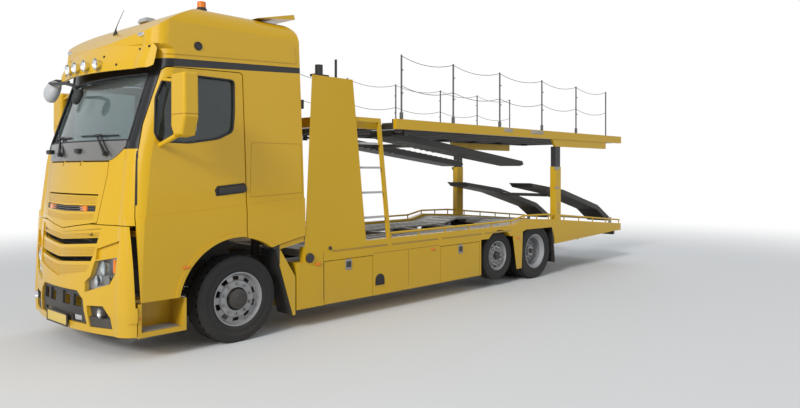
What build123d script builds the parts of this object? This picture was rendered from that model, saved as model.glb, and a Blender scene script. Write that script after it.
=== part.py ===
from build123d import *
import os
from math import cos, hypot, radians, sin

# Car transporter truck: three axles, long-haul cab, lockers along the sides, a lower deck and a
# lifting upper deck. Millimetres; X runs to the rear, Y to the truck's right, Z up, ground at Z 0.
# Stations along the truck are measured back from the front axle and are then moved by front_axle_x.
os.makedirs("parts", exist_ok=True)

# Overall
front_overhang = 1410
rear_reach = 9100
overall_length = front_overhang + rear_reach
front_axle_x = front_overhang - overall_length / 2
body_half_width = 1250

# Wheels and axles
axle_height = 478
tyre_radius = 478
tyre_width = 310
rim_radius = 298
pusher_tyre_radius = 393
pusher_tyre_width = 245
pusher_rim_radius = 238
pusher_height = 500
pusher_axle_x = 4800
drive_axle_x = 5880
wheel_outer_y = 1228
kingpin_y = 850
kingpin_radius = 24
stub_radius = 40
running_gap = 0.06
twin_gap = 36

# Cab
cab_rear_x = 870
cab_floor_z = 1300
cab_wall = 60
panel_gap = 9
seat_gap = 0.3
door_rear_x = 75
door_top_z = 2965
door_bottom_z = 600
arch_radius = 690
arch_centre_x = -20
arch_centre_z = 470
flap_top_z = 1990
flap_hinge = (-1244, 1976)
flap_top_gap = 14
flap_lug_y = 230
flap_bottom_z = 1360
flap_half_width = 750
flap_straight_z = 1850
flap_thickness = 40
flap_rib_depth = 5
bumper_top_z = 1350
bumper_bottom_z = 262
bumper_wall = 45
brow_depth = 26
grille_inset = 10
grille_rib_depth = 7
glass_thickness = 8
side_reach = 1400
roof_top_z = 3755
waist_swell = 9
arch_flare = 20
arch_flare_width = 55
roof_panel_rise = 7
seam_width = 6
seam_depth = 6
bumper_door_gap = 48

# Chassis rails
rail_outer_y = 430
rail_flange = 70
rail_plate = 10
rail_top_z = 830
rail_bottom_z = 560

# Side bodies and lockers
side_bottom_z = 240
locker_top_z = 800
side_front_x = 760
side_rear_x = 4300
side_inner_y = 760
side_wall = 30
lid_thickness = 30
lid_gap = 12

# Lower deck
deck_edge_width = 110
deck_edge_skin = 12
deck_edge_top_z = 980
deck_thickness = 30

# Upper deck
upper_front_x = 2420
upper_rail_top_z = 2615
upper_rail_height = 140
upper_rail_width = 90
column_x = 6610
sleeve_length = 180
sleeve_width = 120
sleeve_wall = 8
sleeve_bottom_z = 1010
sleeve_top_z = 1970
post_clearance = 0.5

# Front towers
tower_outer_y = 1250
tower_inner_y = 1010
tower_base_z = 980
tower_top_z = 3070
tower_base = (870, 1860)
tower_top = (980, 1630)
tower_slant = 0.85


def block(x0, x1, y0, y1, z0, z1):
    """Rectangular block between two corners."""
    centre = ((x0 + x1) / 2, (y0 + y1) / 2, (z0 + z1) / 2)
    return Pos(*centre) * Box(abs(x1 - x0), abs(y1 - y0), abs(z1 - z0))


def side_prism(points, y0, y1):
    """Closed outline of X and Z corners, carried across from y0 to y1."""
    outline = make_face(Polyline(*[(x, y0, z) for x, z in points], close=True))
    return extrude(outline, amount=y1 - y0, dir=(0, 1, 0))


def rounded_prism(points, radius, y0, y1):
    """Side outline with rounded corners, carried across from y0 to y1."""
    outline = make_face(Polyline(*[(x, y0, z) for x, z in points], close=True))
    outline = fillet(outline.vertices(), radius)
    return extrude(outline, amount=y1 - y0, dir=(0, 1, 0))


def front_prism(points, x0, x1):
    """Closed outline of Y and Z corners, carried back from x0 to x1."""
    outline = make_face(Polyline(*[(x0, y, z) for y, z in points], close=True))
    return extrude(outline, amount=x1 - x0, dir=(1, 0, 0))


def rod_between(start, end, radius):
    """Round bar from one point to another."""
    line = Line(start, end)
    return sweep(Plane(start, z_dir=line % 0) * Circle(radius), path=line)


def across(radius, x, z, y0, y1):
    """Round bar along Y."""
    return Pos(x, (y0 + y1) / 2, z) * Rot(90, 0, 0) * Cylinder(radius, abs(y1 - y0))


def across_x(radius, x0, x1, y, z):
    """Round bar along X."""
    return Pos((x0 + x1) / 2, y, z) * Rot(0, 90, 0) * Cylinder(radius, abs(x1 - x0))


def other_side(shape):
    """The same piece on the right-hand side."""
    return mirror(shape, about=Plane.XZ)


def both_sides(shape):
    """Left and right copies together."""
    return Compound([*solids_of(shape), *solids_of(other_side(shape))])


def solids_of(shape):
    """Every solid of a shape or a list of shapes."""
    if isinstance(shape, (list, tuple)):
        return [solid for item in shape for solid in solids_of(item)]
    return list(shape.solids())


def save(node, *shapes):
    """Write one node, moved from the front axle's frame to the part's own frame."""
    whole = Compound([solid for shape in shapes for solid in solids_of(shape)])
    export_step(Pos(front_axle_x, 0, 0) * whole, f"parts/{node}.step")


# Cab form: sections from the sill to the roof, each a rear line, two sides, two corner arcs and the bowed
# front. Columns: height, front at the centre, bow of the front, where the corner starts, corner length
# along X, half width.
cab_sections = [
    (bumper_bottom_z, -1385, 135, 1010, 150, 1240),
    (480, -1409, 150, 1020, 170, 1250),
    (950, -1395, 150, 1020, 170, 1250),
    (1400, -1340, 135, 1000, 150, 1250),
    (2000, -1262, 120, 985, 155, 1222),
    (2190, -1225, 115, 965, 160, 1212),
    (2930, -975, 100, 945, 150, 1168),
    (3160, -945, 95, 930, 150, 1155),
    (3205, -1050, 115, 945, 165, 1154),
    (3900, -990, 110, 930, 165, 1115),
]


def ruled_form(sections, inset):
    """Closed body through a table of sections, shrunk by inset on every outer face but its ends."""
    faces = []
    for z, front, bow, corner_y, corner_x, half in sections:
        nose = front + inset
        start_x = front + bow + inset
        end_x = start_x + corner_x
        start_y = corner_y - inset * 0.6
        half = half - inset
        rear = cab_rear_x - inset
        bulge_x = end_x - corner_x * cos(radians(45))
        bulge_y = start_y + (half - start_y) * sin(radians(45))
        edges = [
            Line((rear, -half, z), (rear, half, z)),
            Line((rear, half, z), (end_x, half, z)),
            ThreePointArc((end_x, half, z), (bulge_x, bulge_y, z), (start_x, start_y, z)),
            ThreePointArc((start_x, start_y, z), (nose, 0, z), (start_x, -start_y, z)),
            ThreePointArc((start_x, -start_y, z), (bulge_x, -bulge_y, z), (end_x, -half, z)),
            Line((end_x, -half, z), (rear, -half, z)),
        ]
        faces.append(make_face(edges))
    return loft(faces, ruled=True)


def cab_form(inset):
    """The whole cab as one closed body, shrunk by inset on every outer face but the bottom."""
    return ruled_form(cab_sections, inset) & roof_along(inset) & roof_across(inset)


def roof_along(inset):
    """Side outline of the roof: a rising brow, a nearly level crown and a rounded tail."""
    y = -1400
    brow = (-1060 + inset, y, 3225 - inset)
    crown_front = (-300, y, 3695 - inset)
    crown_rear = (640, y, 3725 - inset)
    tail = (cab_rear_x - inset + 1, y, 3525 - inset)
    low_rear = (cab_rear_x - inset + 1, y, 200)
    low_front = (-1500, y, 200)
    high_front = (-1500, y, 3050)
    outline = make_face([
        ThreePointArc(brow, (-710, y, 3500 - inset), crown_front),
        ThreePointArc(crown_front, (180, y, 3750 - inset), crown_rear),
        ThreePointArc(crown_rear, (815 - inset * 0.7, y, 3665 - inset * 0.7), tail),
        Line(tail, low_rear),
        Line(low_rear, low_front),
        Line(low_front, high_front),
        Line(high_front, brow),
    ])
    return extrude(outline, amount=2800, dir=(0, 1, 0))


def roof_across(inset):
    """Front outline of the roof: round shoulders and a low crown."""
    x = -1600
    shoulder_low = 1150 - inset
    shoulder_high = 800 - inset * 0.5
    low_z = 3420 - inset
    bend_z = 3600 - inset
    high_z = 3690 - inset
    outline = make_face([
        Line((x, -side_reach, 200), (x, side_reach, 200)),
        Line((x, side_reach, 200), (x, side_reach, low_z)),
        Line((x, side_reach, low_z), (x, shoulder_low, low_z)),
        ThreePointArc((x, shoulder_low, low_z), (x, 1050 - inset, bend_z), (x, shoulder_high, high_z)),
        ThreePointArc((x, shoulder_high, high_z), (x, 0, roof_top_z - inset), (x, -shoulder_high, high_z)),
        ThreePointArc((x, -shoulder_high, high_z), (x, inset - 1050, bend_z), (x, -shoulder_low, low_z)),
        Line((x, -shoulder_low, low_z), (x, -side_reach, low_z)),
        Line((x, -side_reach, low_z), (x, -side_reach, 200)),
    ])
    return extrude(outline, amount=2700, dir=(1, 0, 0))


# Arch flare, the swell below the waist crease and the roof's raised side panel, as seen from the side
waist_line = [(-1200, 1432), (door_rear_x, 1520), (cab_rear_x + 5, 1574)]
swell_outline = waist_line + [(cab_rear_x + 5, 400), (-1200, 400)]
roof_panel_front = [(-800, 3105), (-845, 3180), (-815, 3270), (-720, 3350), (-560, 3395)]
roof_panel_outline = roof_panel_front + [(cab_rear_x - 75, 3395), (cab_rear_x - 60, 3190)]
flare = across(arch_radius + arch_flare_width, arch_centre_x, arch_centre_z, -side_reach, -1090)
side_forms = cab_form(-waist_swell) & side_prism(swell_outline, -side_reach, -1060)
side_forms = side_forms + (cab_form(-arch_flare) & flare)
side_forms = side_forms + (cab_form(-roof_panel_rise) & side_prism(roof_panel_outline, -side_reach, -1060))


def ring_from_side(points, width):
    """Band that follows an outline inwards, right through the left side."""
    middle_x = sum(x for x, z in points) / len(points)
    middle_z = sum(z for x, z in points) / len(points)
    half_x = max(x for x, z in points) - middle_x
    half_z = max(z for x, z in points) - middle_z
    shrunk = [(middle_x + (x - middle_x) * (1 - width / half_x), middle_z + (z - middle_z) * (1 - width / half_z))
              for x, z in points]
    return side_prism(points, -side_reach, -1100) - side_prism(shrunk, -side_reach, -1100)


hatch_outline = [(130, 1600), (160, 2195), (185, 2220), (850, 2220), (850, 1632)]
hatch_seam = ring_from_side(hatch_outline, seam_width) - cab_form(seam_depth)
cab_outer = (cab_form(0) + side_forms + other_side(side_forms)) - hatch_seam - other_side(hatch_seam)
cab_inner = cab_form(cab_wall)
cab_skin = cab_outer - cab_inner


# Front edge of the door from its foot up. Columns: height, station, half width of the cab's skin there.
door_front_edge = [
    (door_bottom_z, -1100, 1246), (1440, -1135, 1205), (2000, -1103, 1160), (2110, -1075, 1150),
    (2360, -1018, 1117), (2935, -825, 1111),
]
door_edge_slope = 0.58


def door_outline(grow, depth=0):
    """Door seen from the side, grown all round by a gap; depth moves the front edge for its slanted cut."""
    front = []
    for z, x, half in door_front_edge:
        shift = (depth - half) * door_edge_slope if depth else 0
        front.append((x - grow - shift, z - grow if z == door_bottom_z else z))
    return front + [
        (front[-1][0] + 40, door_top_z + grow),
        (door_rear_x - 40, door_top_z + 35 + grow),
        (door_rear_x + 1.5 * grow, door_top_z + grow),
        (door_rear_x + 1.5 * grow, door_bottom_z - grow),
    ]


def door_region(grow):
    """Room that the left door takes through the cab's skin; its front face slants back into the cab."""
    straight = side_prism(door_outline(grow), -side_reach, -door_reach_y)
    slanted_outline = [(x + 200 if x > -700 else x, z) for x, z in door_outline(grow, side_reach)]
    face = make_face(Polyline(*[(x, -side_reach, z) for x, z in slanted_outline], close=True))
    run = side_reach - door_reach_y
    slanted = extrude(face, amount=run * hypot(door_edge_slope, 1), dir=(door_edge_slope, 1, 0))
    return straight & slanted


# Side glass outline, seen from the side
window_outline = [
    (-940, 2270), (-898, 2640), (-818, 2845), (-500, 2905), (-28, 2900),
    (-40, 2520), (-65, 2330), (-240, 2245), (-580, 2190), (-900, 2195),
]
window_round = 34
screen_outline = [(-1000, 2215), (1000, 2215), (965, 2905), (-965, 2905)]
handle_outline = [(-285, 1625), (-300, 1690), (-270, 1735), (60, 1765), (85, 1720), (60, 1655)]
grip_outline = [(-230, 1668), (-230, 1706), (84, 1734), (84, 1694)]
handle_depth = 26
door_reach_y = 930

arch_cut = across(arch_radius, arch_centre_x, arch_centre_z, -side_reach, side_reach)


def door_left():
    """Door skin with its window cut, its step cover below and the mirror on two arms."""
    leaf = cab_skin & door_region(0)
    leaf = leaf - across(arch_radius + panel_gap, arch_centre_x, arch_centre_z, -side_reach, side_reach)
    leaf = leaf - rounded_prism(window_outline, window_round, -side_reach, -door_reach_y + 5)
    pocket = side_prism(handle_outline, -side_reach, -1100) & (cab_form(-30) - cab_form(handle_depth))
    grip = side_prism(grip_outline, -side_reach, -1100) & (cab_form(-6) - cab_form(handle_depth + 1))
    leaf = leaf - pocket + grip
    return leaf.solids().sort_by(SortBy.VOLUME)[-1]


# Mirror seen from the front, measured out from its inner edge: a tall upper part over a tapered lower one
mirror_front = [(0, 2345), (0, 2850), (30, 2875), (240, 2875), (262, 2850), (270, 2430), (205, 2250), (60, 2235)]
mirror_depth = 155
mirror_seam_z = 2460


def mirror_left(inner_y, front_x):
    """Mirror housing with its seam, two sunk glasses and an upper and lower arm, carried by the door."""
    outline = [(-inner_y - out, z) for out, z in mirror_front]
    housing = front_prism(outline, front_x, front_x + mirror_depth)
    housing = fillet(housing.faces().sort_by(Axis.X)[0].edges(), 34)
    housing = fillet(housing.faces().sort_by(Axis.X)[-1].edges(), 12)
    rear_x = front_x + mirror_depth
    outer_y = inner_y + 238
    for z0, z1 in ((2290, mirror_seam_z - 10), (mirror_seam_z + 10, 2845)):
        housing = housing - block(rear_x - 8, rear_x + 1, -outer_y + (40 if z0 < 2300 else 0), -inner_y - 30, z0, z1)
    shell = block(front_x - 1, rear_x + 1, -inner_y - 300, -inner_y + 10, mirror_seam_z - 3, mirror_seam_z + 3)
    core = block(front_x + 10, rear_x - 12, -inner_y - 255, -inner_y - 10, mirror_seam_z - 6, mirror_seam_z + 6)
    housing = housing - (shell - core)
    upper_arm = rod_between((-840, -1165, 2835), (front_x + 50, -inner_y - 20, 2800), 18)
    lower_arm = rod_between((-890, -1190, 2150), (front_x + 60, -inner_y - 60, 2265), 26)
    return housing + upper_arm + lower_arm


def glass_left():
    """Side window, seated in the door's own cut."""
    sheet = cab_form(24) - cab_form(24 + glass_thickness)
    pane = sheet & rounded_prism(window_outline, window_round, -side_reach, -door_reach_y)
    return pane.solids().sort_by(SortBy.VOLUME)[-1]


door_leaf = door_left()
door_glass = glass_left()
mirror_out = (1380, -870)
save("door_left", door_leaf + mirror_left(*mirror_out))
save("door_right", other_side(door_leaf + mirror_left(*mirror_out)))
save("door_glass_left", door_glass)
save("door_glass_right", other_side(door_glass))

# Front flap: the panel below the screen, cut from the cab's own front, with a V-shaped lower edge
flap_taper = 75
flap_point = 65


def flap_shape(grow, top_gap):
    """Flap seen from the front, grown by a gap; its sides stay upright near the hinge, where it swings in."""
    side = flap_half_width + grow
    low = side - flap_taper
    return [
        (-side, flap_top_z + top_gap), (side, flap_top_z + top_gap), (side, flap_straight_z),
        (low, flap_bottom_z + 15 - grow), (0, flap_bottom_z - flap_point - grow),
        (-low, flap_bottom_z + 15 - grow), (-side, flap_straight_z),
    ]


flap_outline = flap_shape(0, 0)
flap_opening = flap_shape(panel_gap, flap_top_gap)


def vee(half, side_z, drop, height):
    """Shallow V band seen from the front: its top at the sides, the drop of its middle, and its height."""
    return [(-half, side_z), (0, side_z - drop), (half, side_z), (half, side_z - height),
            (0, side_z - drop - height), (-half, side_z - height)]


def vee_grooves(half, side_z, drop, height, count):
    """Even V grooves down a ribbed panel."""
    pitch = height / count
    return [front_prism(vee(half, side_z - pitch * (row + 0.3), drop, pitch * 0.4), -1500, -1100)
            for row in range(count)]


# Louvres of the flap. Columns: half width, height of the top at the sides, drop of the middle, height and,
# for the ribbed panels, the number of grooves.
flap_slits = [(650, 1660, 0, 16), (628, 1545, 12, 62)]
flap_ribs = [(640, 1635, 4, 78, 6), (612, 1462, 30, 62, 5)]
slits = [front_prism(vee(*slit), -1500, -1000) for slit in flap_slits]
grooves = [groove for ribs in flap_ribs for groove in vee_grooves(*ribs)]
flap_prism = front_prism(flap_outline, -1500, -1000) - slits
flap_core = (cab_form(flap_rib_depth) - cab_form(flap_thickness)) & flap_prism
flap_face = ((cab_form(0) - cab_form(flap_rib_depth)) & flap_prism) - grooves
front_flap = (flap_core + flap_face).solids().sort_by(SortBy.VOLUME)[-1]
flap_pins = []
flap_lugs = []
hinge_x, hinge_z = flap_hinge
for y in (-flap_lug_y, flap_lug_y):
    front_flap = front_flap - block(hinge_x - 30, hinge_x + 60, y - 18, y + 18, hinge_z - 22, hinge_z + 30)
    front_flap = front_flap - across(6 + running_gap, hinge_x, hinge_z, y - 40, y + 40)
    flap_pins.append(across(6, hinge_x, hinge_z, y - 36, y + 36))
    lug = across(9, hinge_x, hinge_z, y - 12, y + 12)
    flap_lugs.append(lug + block(hinge_x - 5, hinge_x + 46, y - 12, y + 12, hinge_z + 2, hinge_z + 44))
save("front_flap", front_flap)

# Cab shell: hollow, with the doors, windows, screen, wheel arches and the flap's bay cut out
cab_low_z = 1000
cab_region = block(-1390, cab_rear_x + 5, -1300, 1300, cab_low_z, 3900) - block(
    -1450, -1080, -1300, 1300, cab_low_z - 10, bumper_top_z + panel_gap)
shell = cab_skin & cab_region
cab_hem = side_prism([(380, 990), (380, 1016), (900, 1128), (900, 990)], -side_reach, side_reach)
shell = shell - door_region(panel_gap) - other_side(door_region(panel_gap))
shell = shell - arch_cut
shell = shell - front_prism(flap_opening, -1500, -1000)
shell = shell - front_prism(screen_outline, -1500, -700)
bulkhead_x = -1095
floor_pan = block(bulkhead_x, cab_rear_x - cab_wall + 1, -1125, 1125, cab_floor_z - 60, cab_floor_z)
floor_rear = block(door_rear_x + 1.5 * panel_gap, cab_rear_x - cab_wall + 1, -1200, 1200,
                   cab_floor_z - 60, cab_floor_z)
fire_wall = block(bulkhead_x, bulkhead_x + 40, -995, 995, cab_floor_z - 60, 2150)
cab_floor = (floor_pan + floor_rear + fire_wall) & cab_form(10)
rear_wall = (cab_skin & block(cab_rear_x - cab_wall, cab_rear_x + 5, -1300, 1300, cab_floor_z - 200, 3900))
door_land = block(door_rear_x - 40, door_rear_x + 50, -body_half_width + cab_wall + seat_gap, -1130, 1310, 1390)
door_land = door_land + block(door_rear_x + 20, door_rear_x + 50, -1210, -1130, 1310, 1390)
cab_shell = shell + cab_floor + rear_wall + flap_lugs + flap_pins + door_land + other_side(door_land)
cab_shell = cab_shell - cab_hem
save("cab_shell", cab_shell)

# Screen, seated in the cut of the shell
screen_sheet = cab_form(20) - cab_form(20 + glass_thickness)
windscreen = (screen_sheet & front_prism(screen_outline, -1500, -700)).solids().sort_by(SortBy.VOLUME)[-1]
save("windscreen", windscreen)

# Sun visor over the screen and the wing at the roof's tail
visor_wall = 24
visor_sections = [
    (2900, -1168, 150, 900, 135, 1182),
    (3040, -1145, 150, 900, 135, 1178),
    (3170, -1085, 140, 905, 135, 1172),
    (3260, -1040, 135, 905, 135, 1168),
]
visor_side = [(-1300, 2938), (-965, 2950), (-925, 2975), (-880, 3150), (-892, 3200), (-960, 3225), (-1300, 3232)]
visor_shell = ruled_form(visor_sections, 0) - ruled_form(visor_sections, visor_wall)
visor_shell = visor_shell & side_prism(visor_side, -side_reach, side_reach)
visor = (visor_shell - cab_outer).solids().sort_by(SortBy.VOLUME)[-1]
visor_room = ruled_form(visor_sections, visor_wall / 2) - cab_outer
visor_arms = [block(-1110, -940, y - 12, y + 12, 3040, 3080) for y in (-800, 0, 800)]
visor_whole = visor + [arm & visor_room for arm in visor_arms]
wing = side_prism([(390, 3690), (900, 3815), (915, 3758), (480, 3700)], -1000, 1000)
wing_feet = [block(600, 690, y - 25, y + 25, 3620, 3770) for y in (-600, 600)]
wing_whole = (wing + wing_feet) - cab_outer
save("roof_panels", visor_whole, wing_whole)

# Bumper: the cab's own front below the flap, with the lamp and intake openings
bumper_skin = cab_outer - cab_form(bumper_wall)
bumper_step_z = door_bottom_z - bumper_door_gap
bumper_region = block(-1450, -1130, -1300, 1300, bumper_bottom_z, bumper_step_z) + block(
    -1450, -1085, -1300, 1300, bumper_step_z, bumper_top_z)
bumper_region = bumper_region - side_prism(door_outline(bumper_door_gap), -side_reach, side_reach)
bumper_region = bumper_region - front_prism(flap_opening, -1500, -1000)
lamp_outline = [(-1040, 1042), (-1028, 890), (-955, 775), (-575, 668), (-572, 770), (-662, 838), (-722, 990)]
brow_outline = [(-728, 1112), (-1058, 1212), (-1050, 1056), (-728, 1004)]
intake_outline = [(-600, 340), (600, 340), (545, 590), (432, 672), (-432, 672), (-545, 590)]
fog_outline = [(-990, 330), (-640, 321), (-614, 535), (-862, 550), (-968, 445)]
# Openings in the lower intake. Columns: inner and outer distance from the middle, bottom and top height.
intake_windows = [(90, 260, 505, 640), (330, 480, 505, 625), (300, 480, 352, 415)]


def mirrored_outline(points):
    """The same outline on the right-hand side."""
    return [(-y, z) for y, z in points]


bumper = bumper_skin & bumper_region
for outline in (lamp_outline, mirrored_outline(lamp_outline), intake_outline, fog_outline,
                mirrored_outline(fog_outline)):
    bumper = bumper - front_prism(outline, -1500, -1150)
grille_outline = [(-760, 1318), (0, 1252), (760, 1318), (690, 1060), (600, 880), (0, 785), (-600, 880),
                  (-690, 1060)]
bumper = bumper - front_prism(grille_outline, -1500, -1200)
brow_skin = cab_form(-20) - cab_form(brow_depth)
for outline in (brow_outline, mirrored_outline(brow_outline)):
    bumper = bumper - (front_prism(outline, -1500, -1150) & brow_skin)
bumper_struts = [block(-1290, -960, y - 25, y + 25, 600, 700) for y in (-395, 395)]
bumper_beam = block(-1400, -1270, -880, 880, 600, 700) & cab_form(bumper_wall)
save("front_bumper", bumper)

lamp_sheet = cab_form(12) - cab_form(bumper_wall)
headlamp = lamp_sheet & front_prism(lamp_outline, -1500, -1150)
save("headlamps", both_sides(headlamp))
intake = (cab_form(22) - cab_form(bumper_wall)) & front_prism(intake_outline, -1500, -1150)
for near, far, z0, z1 in intake_windows:
    for y0, y1 in ((near, far), (-far, -near)):
        intake = intake - block(-1500, -1200, y0, y1, z0, z1)
fog_back = (cab_form(38) - cab_form(bumper_wall)) & front_prism(fog_outline, -1500, -1150)
fog_plate = (cab_form(14) - cab_form(bumper_wall)) & front_prism(fog_outline, -1500, -1150)
fog_plate = fog_plate & block(-1500, -1150, -1050, -600, 300, 425)
fog_lamp = across_x(42, -1370, -1256, -838, 478) & cab_form(10)
save("lower_intake", intake, both_sides(fog_back + fog_plate + fog_lamp))
# Blades of the grille. Columns: height of the top at the sides, height of the blade.
grille_blades = [(1318, 88), (1172, 125), (996, 165)]
grille_drop = 58
grille_lip = 34
grille_prism = front_prism(grille_outline, -1500, -1200)
grille_core = (cab_form(grille_inset + grille_rib_depth) - cab_form(bumper_wall)) & grille_prism
grille_face = (cab_form(grille_inset) - cab_form(grille_inset + grille_rib_depth)) & grille_prism
grille = []
for top, height in grille_blades:
    band = front_prism(vee(830, top, grille_drop, height), -1500, -1150)
    ribbed_height = height - grille_lip - 6
    ribs = vee_grooves(830, top - grille_lip, grille_drop, ribbed_height, round(height / 21))
    grille.append((grille_core & band) + ((grille_face & band) - ribs))
save("grille", grille)

# Entry steps below each door
step_outer = body_half_width - 12
step_box = block(-1120, -620, -step_outer, -900, 250, 585)
step_well = block(-1085, -650, -step_outer - 5, -960, 300, 590)
step_arm = block(-1000, -940, -905, -rail_outer_y, 500, 600)
step_left = (step_box - step_well) + step_arm
save("entry_steps", both_sides(step_left))

# Cab interior: dashboard, wheel, seats and bunk
dash_side = [(-1055, 1850), (-1055, 2120), (-980, 2120), (-800, 2010), (-760, 1750), (-900, 1750)]
dash = side_prism(dash_side, -1040, 1040) & cab_form(cab_wall + 2)
column = rod_between((-830, -560, 1850), (-690, -560, 2000), 30)
hoop = Pos(-680, -560, 2010) * Rot(0, -50, 0) * Torus(215, 16)
hub = Pos(-680, -560, 2010) * Rot(0, -50, 0) * (Cylinder(60, 30) + Box(420, 30, 14))
bunk = block(330, cab_rear_x - cab_wall - 2, -1080, 1080, 1700, 1850)
bunk_base = block(380, cab_rear_x - cab_wall - 2, -1080, 1080, cab_floor_z, 1700)
save("cab_interior", dash + column + hoop + hub, bunk + bunk_base)
seat_side = [(-480, 1650), (-480, 1760), (0, 1740), (90, 2350), (180, 2350), (120, 1640)]
seat = side_prism(seat_side, -820, -320)
seat_foot = block(-330, 20, -700, -440, cab_floor_z, 1680)
save("seats", both_sides(seat + seat_foot))

# Chassis: two channel rails that drop at the tail, with tubular and boxed crossmembers
rail_front_x = -1000
rail_drop_x = 6500
rail_end_x = 9020
rail_end_top_z = 640
rail_end_bottom_z = 545
rail_side = [
    (rail_front_x, rail_bottom_z), (rail_front_x, rail_top_z), (rail_drop_x, rail_top_z),
    (rail_end_x, rail_end_top_z), (rail_end_x, rail_end_bottom_z), (rail_drop_x, rail_bottom_z),
]
rail = side_prism(rail_side, -rail_outer_y, -rail_outer_y + rail_flange)
rail_hollow = [
    (rail_front_x - 1, rail_bottom_z + rail_plate), (rail_front_x - 1, rail_top_z - rail_plate),
    (rail_drop_x, rail_top_z - rail_plate), (rail_end_x + 1, rail_end_top_z - rail_plate),
    (rail_end_x + 1, rail_end_bottom_z + rail_plate), (rail_drop_x, rail_bottom_z + rail_plate),
]
rail = rail - side_prism(rail_hollow, -rail_outer_y + rail_plate, -rail_outer_y + rail_flange + 1)
cross_tubes = [(x, 788) for x in (-880, 640, 1500, 2700, 3900, 5340, 6420)]
cross_tubes += [(7300, 690), (8200, 630)]
tubes = [across(34, x, z, -rail_outer_y + 5, rail_outer_y - 5) for x, z in cross_tubes]
tail_beam = block(rail_end_x - 60, rail_end_x, -1130, 1130, 545, 645)
cab_mount = block(-990, -900, -rail_outer_y, -380, rail_top_z, cab_floor_z - 60)
cab_mount = cab_mount + block(700, 790, -rail_outer_y, -380, rail_top_z, cab_floor_z - 60)
rear_mount_beam = block(700, 790, -700, 700, cab_floor_z - 140, cab_floor_z - 60)
chassis = rail + other_side(rail) + tubes + tail_beam + bumper_beam + bumper_struts
chassis = chassis + cab_mount + other_side(cab_mount) + rear_mount_beam
save("chassis_frame", chassis)

# Engine: one plain block on the rails
engine = block(-640, 420, -335, 335, 600, 1200)
engine_feet = [block(x - 60, x + 60, -rail_outer_y, rail_outer_y, rail_top_z, rail_top_z + 40)
               for x in (-500, 250)]
save("engine_block", engine + engine_feet)

# Front axle beam with its leaf springs, and the knuckles that steer
beam_top_z = 470
beam_bottom_z = 380
kingpin_z = (beam_top_z + beam_bottom_z) / 2
eye_radius = kingpin_radius + 12
fork_half = 45
fork_throat = eye_radius + 6
beam = block(-45, 45, -kingpin_y, kingpin_y, beam_bottom_z, beam_top_z)
for side in (-1, 1):
    beam = beam + Pos(0, side * kingpin_y, kingpin_z) * Cylinder(eye_radius, beam_top_z - beam_bottom_z)
    beam = beam - Pos(0, side * kingpin_y, kingpin_z) * Cylinder(kingpin_radius + running_gap, 200)
spring = block(-780, 780, -460, -390, beam_top_z, beam_top_z + 45)
hangers = [block(x - 30, x + 30, -460, -390, beam_top_z + 45, rail_bottom_z) for x in (-750, 750)]
save("front_axle", beam + both_sides(spring + hangers))


def knuckle_left():
    """Fork round the axle's eye with its pin, and the stub that the hub runs on."""
    pin = Pos(0, -kingpin_y, kingpin_z) * Cylinder(kingpin_radius, 160)
    low_z = beam_bottom_z - 35
    high_z = beam_top_z + 35
    upper = block(-fork_half, fork_half, -kingpin_y - 60, -kingpin_y + 30, beam_top_z + 3, high_z)
    lower = block(-fork_half, fork_half, -kingpin_y - 60, -kingpin_y + 30, low_z, beam_bottom_z - 3)
    web = block(-fork_half, fork_half, -kingpin_y - 60, -kingpin_y - fork_throat, low_z, high_z)
    stub = across(stub_radius, 0, axle_height, -kingpin_y - 50, -wheel_outer_y + 60)
    return pin + upper + lower + web + stub


save("knuckle_left", knuckle_left())
save("knuckle_right", other_side(knuckle_left()))


def wheel_profile(points, x, z):
    """Ring turned about an axle from Y and radius corners."""
    outline = make_face(Polyline(*[(x, y, z + r) for y, r in points], close=True))
    return revolve(outline, Axis((x, 0, z), (0, 1, 0)), 360)


def tyre(x, z, outer_y, width, radius, bead):
    """Tyre with rounded shoulders and bulged walls; outer_y is its outer wall, on the left side."""
    y0 = -outer_y
    y1 = -outer_y + width
    shoulder = 34
    outline = make_face(Polyline(
        (x, y0 + 22, z + bead), (x, y0, z + bead + (radius - bead) * 0.45), (x, y0 + 6, z + radius - shoulder),
        (x, y0 + shoulder, z + radius), (x, y1 - shoulder, z + radius), (x, y1 - 6, z + radius - shoulder),
        (x, y1, z + bead + (radius - bead) * 0.45), (x, y1 - 22, z + bead), close=True))
    return revolve(outline, Axis((x, 0, z), (0, 1, 0)), 360)


def rim(x, z, outer_y, width, flange, disc_in, bore):
    """Steel rim: a well with two flanges, a dished disc set in by disc_in, and the hub's bore."""
    y0 = -outer_y + 14
    y1 = -outer_y + width - 14
    barrel = [
        (y0, flange), (y0, flange - 12), (y0 + 24, flange - 26), (y0 + 60, flange - 58), (y1 - 60, flange - 58),
        (y1 - 24, flange - 26), (y1, flange - 12), (y1, flange), (y1 - 9, flange), (y1 - 12, flange - 0.3),
        (y1 - 24, flange - 14), (y1 - 62, flange - 46), (y0 + 62, flange - 46), (y0 + 24, flange - 14),
        (y0 + 12, flange - 0.3), (y0 + 9, flange),
    ]
    disc_y = y0 + disc_in
    disc = [
        (disc_y, bore), (disc_y, 170), (disc_y + 45, flange - 50), (disc_y + 45, flange - 57),
        (disc_y + 57, flange - 57), (disc_y + 14, 170), (disc_y + 60, 120), (disc_y + 60, bore),
    ]
    hub = [(disc_y - 50, bore), (disc_y - 50, 86), (disc_y + 1, 92), (disc_y + 100, 92), (disc_y + 100, bore)]
    return wheel_profile(barrel, x, z) + wheel_profile(disc, x, z) + wheel_profile(hub, x, z)


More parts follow.
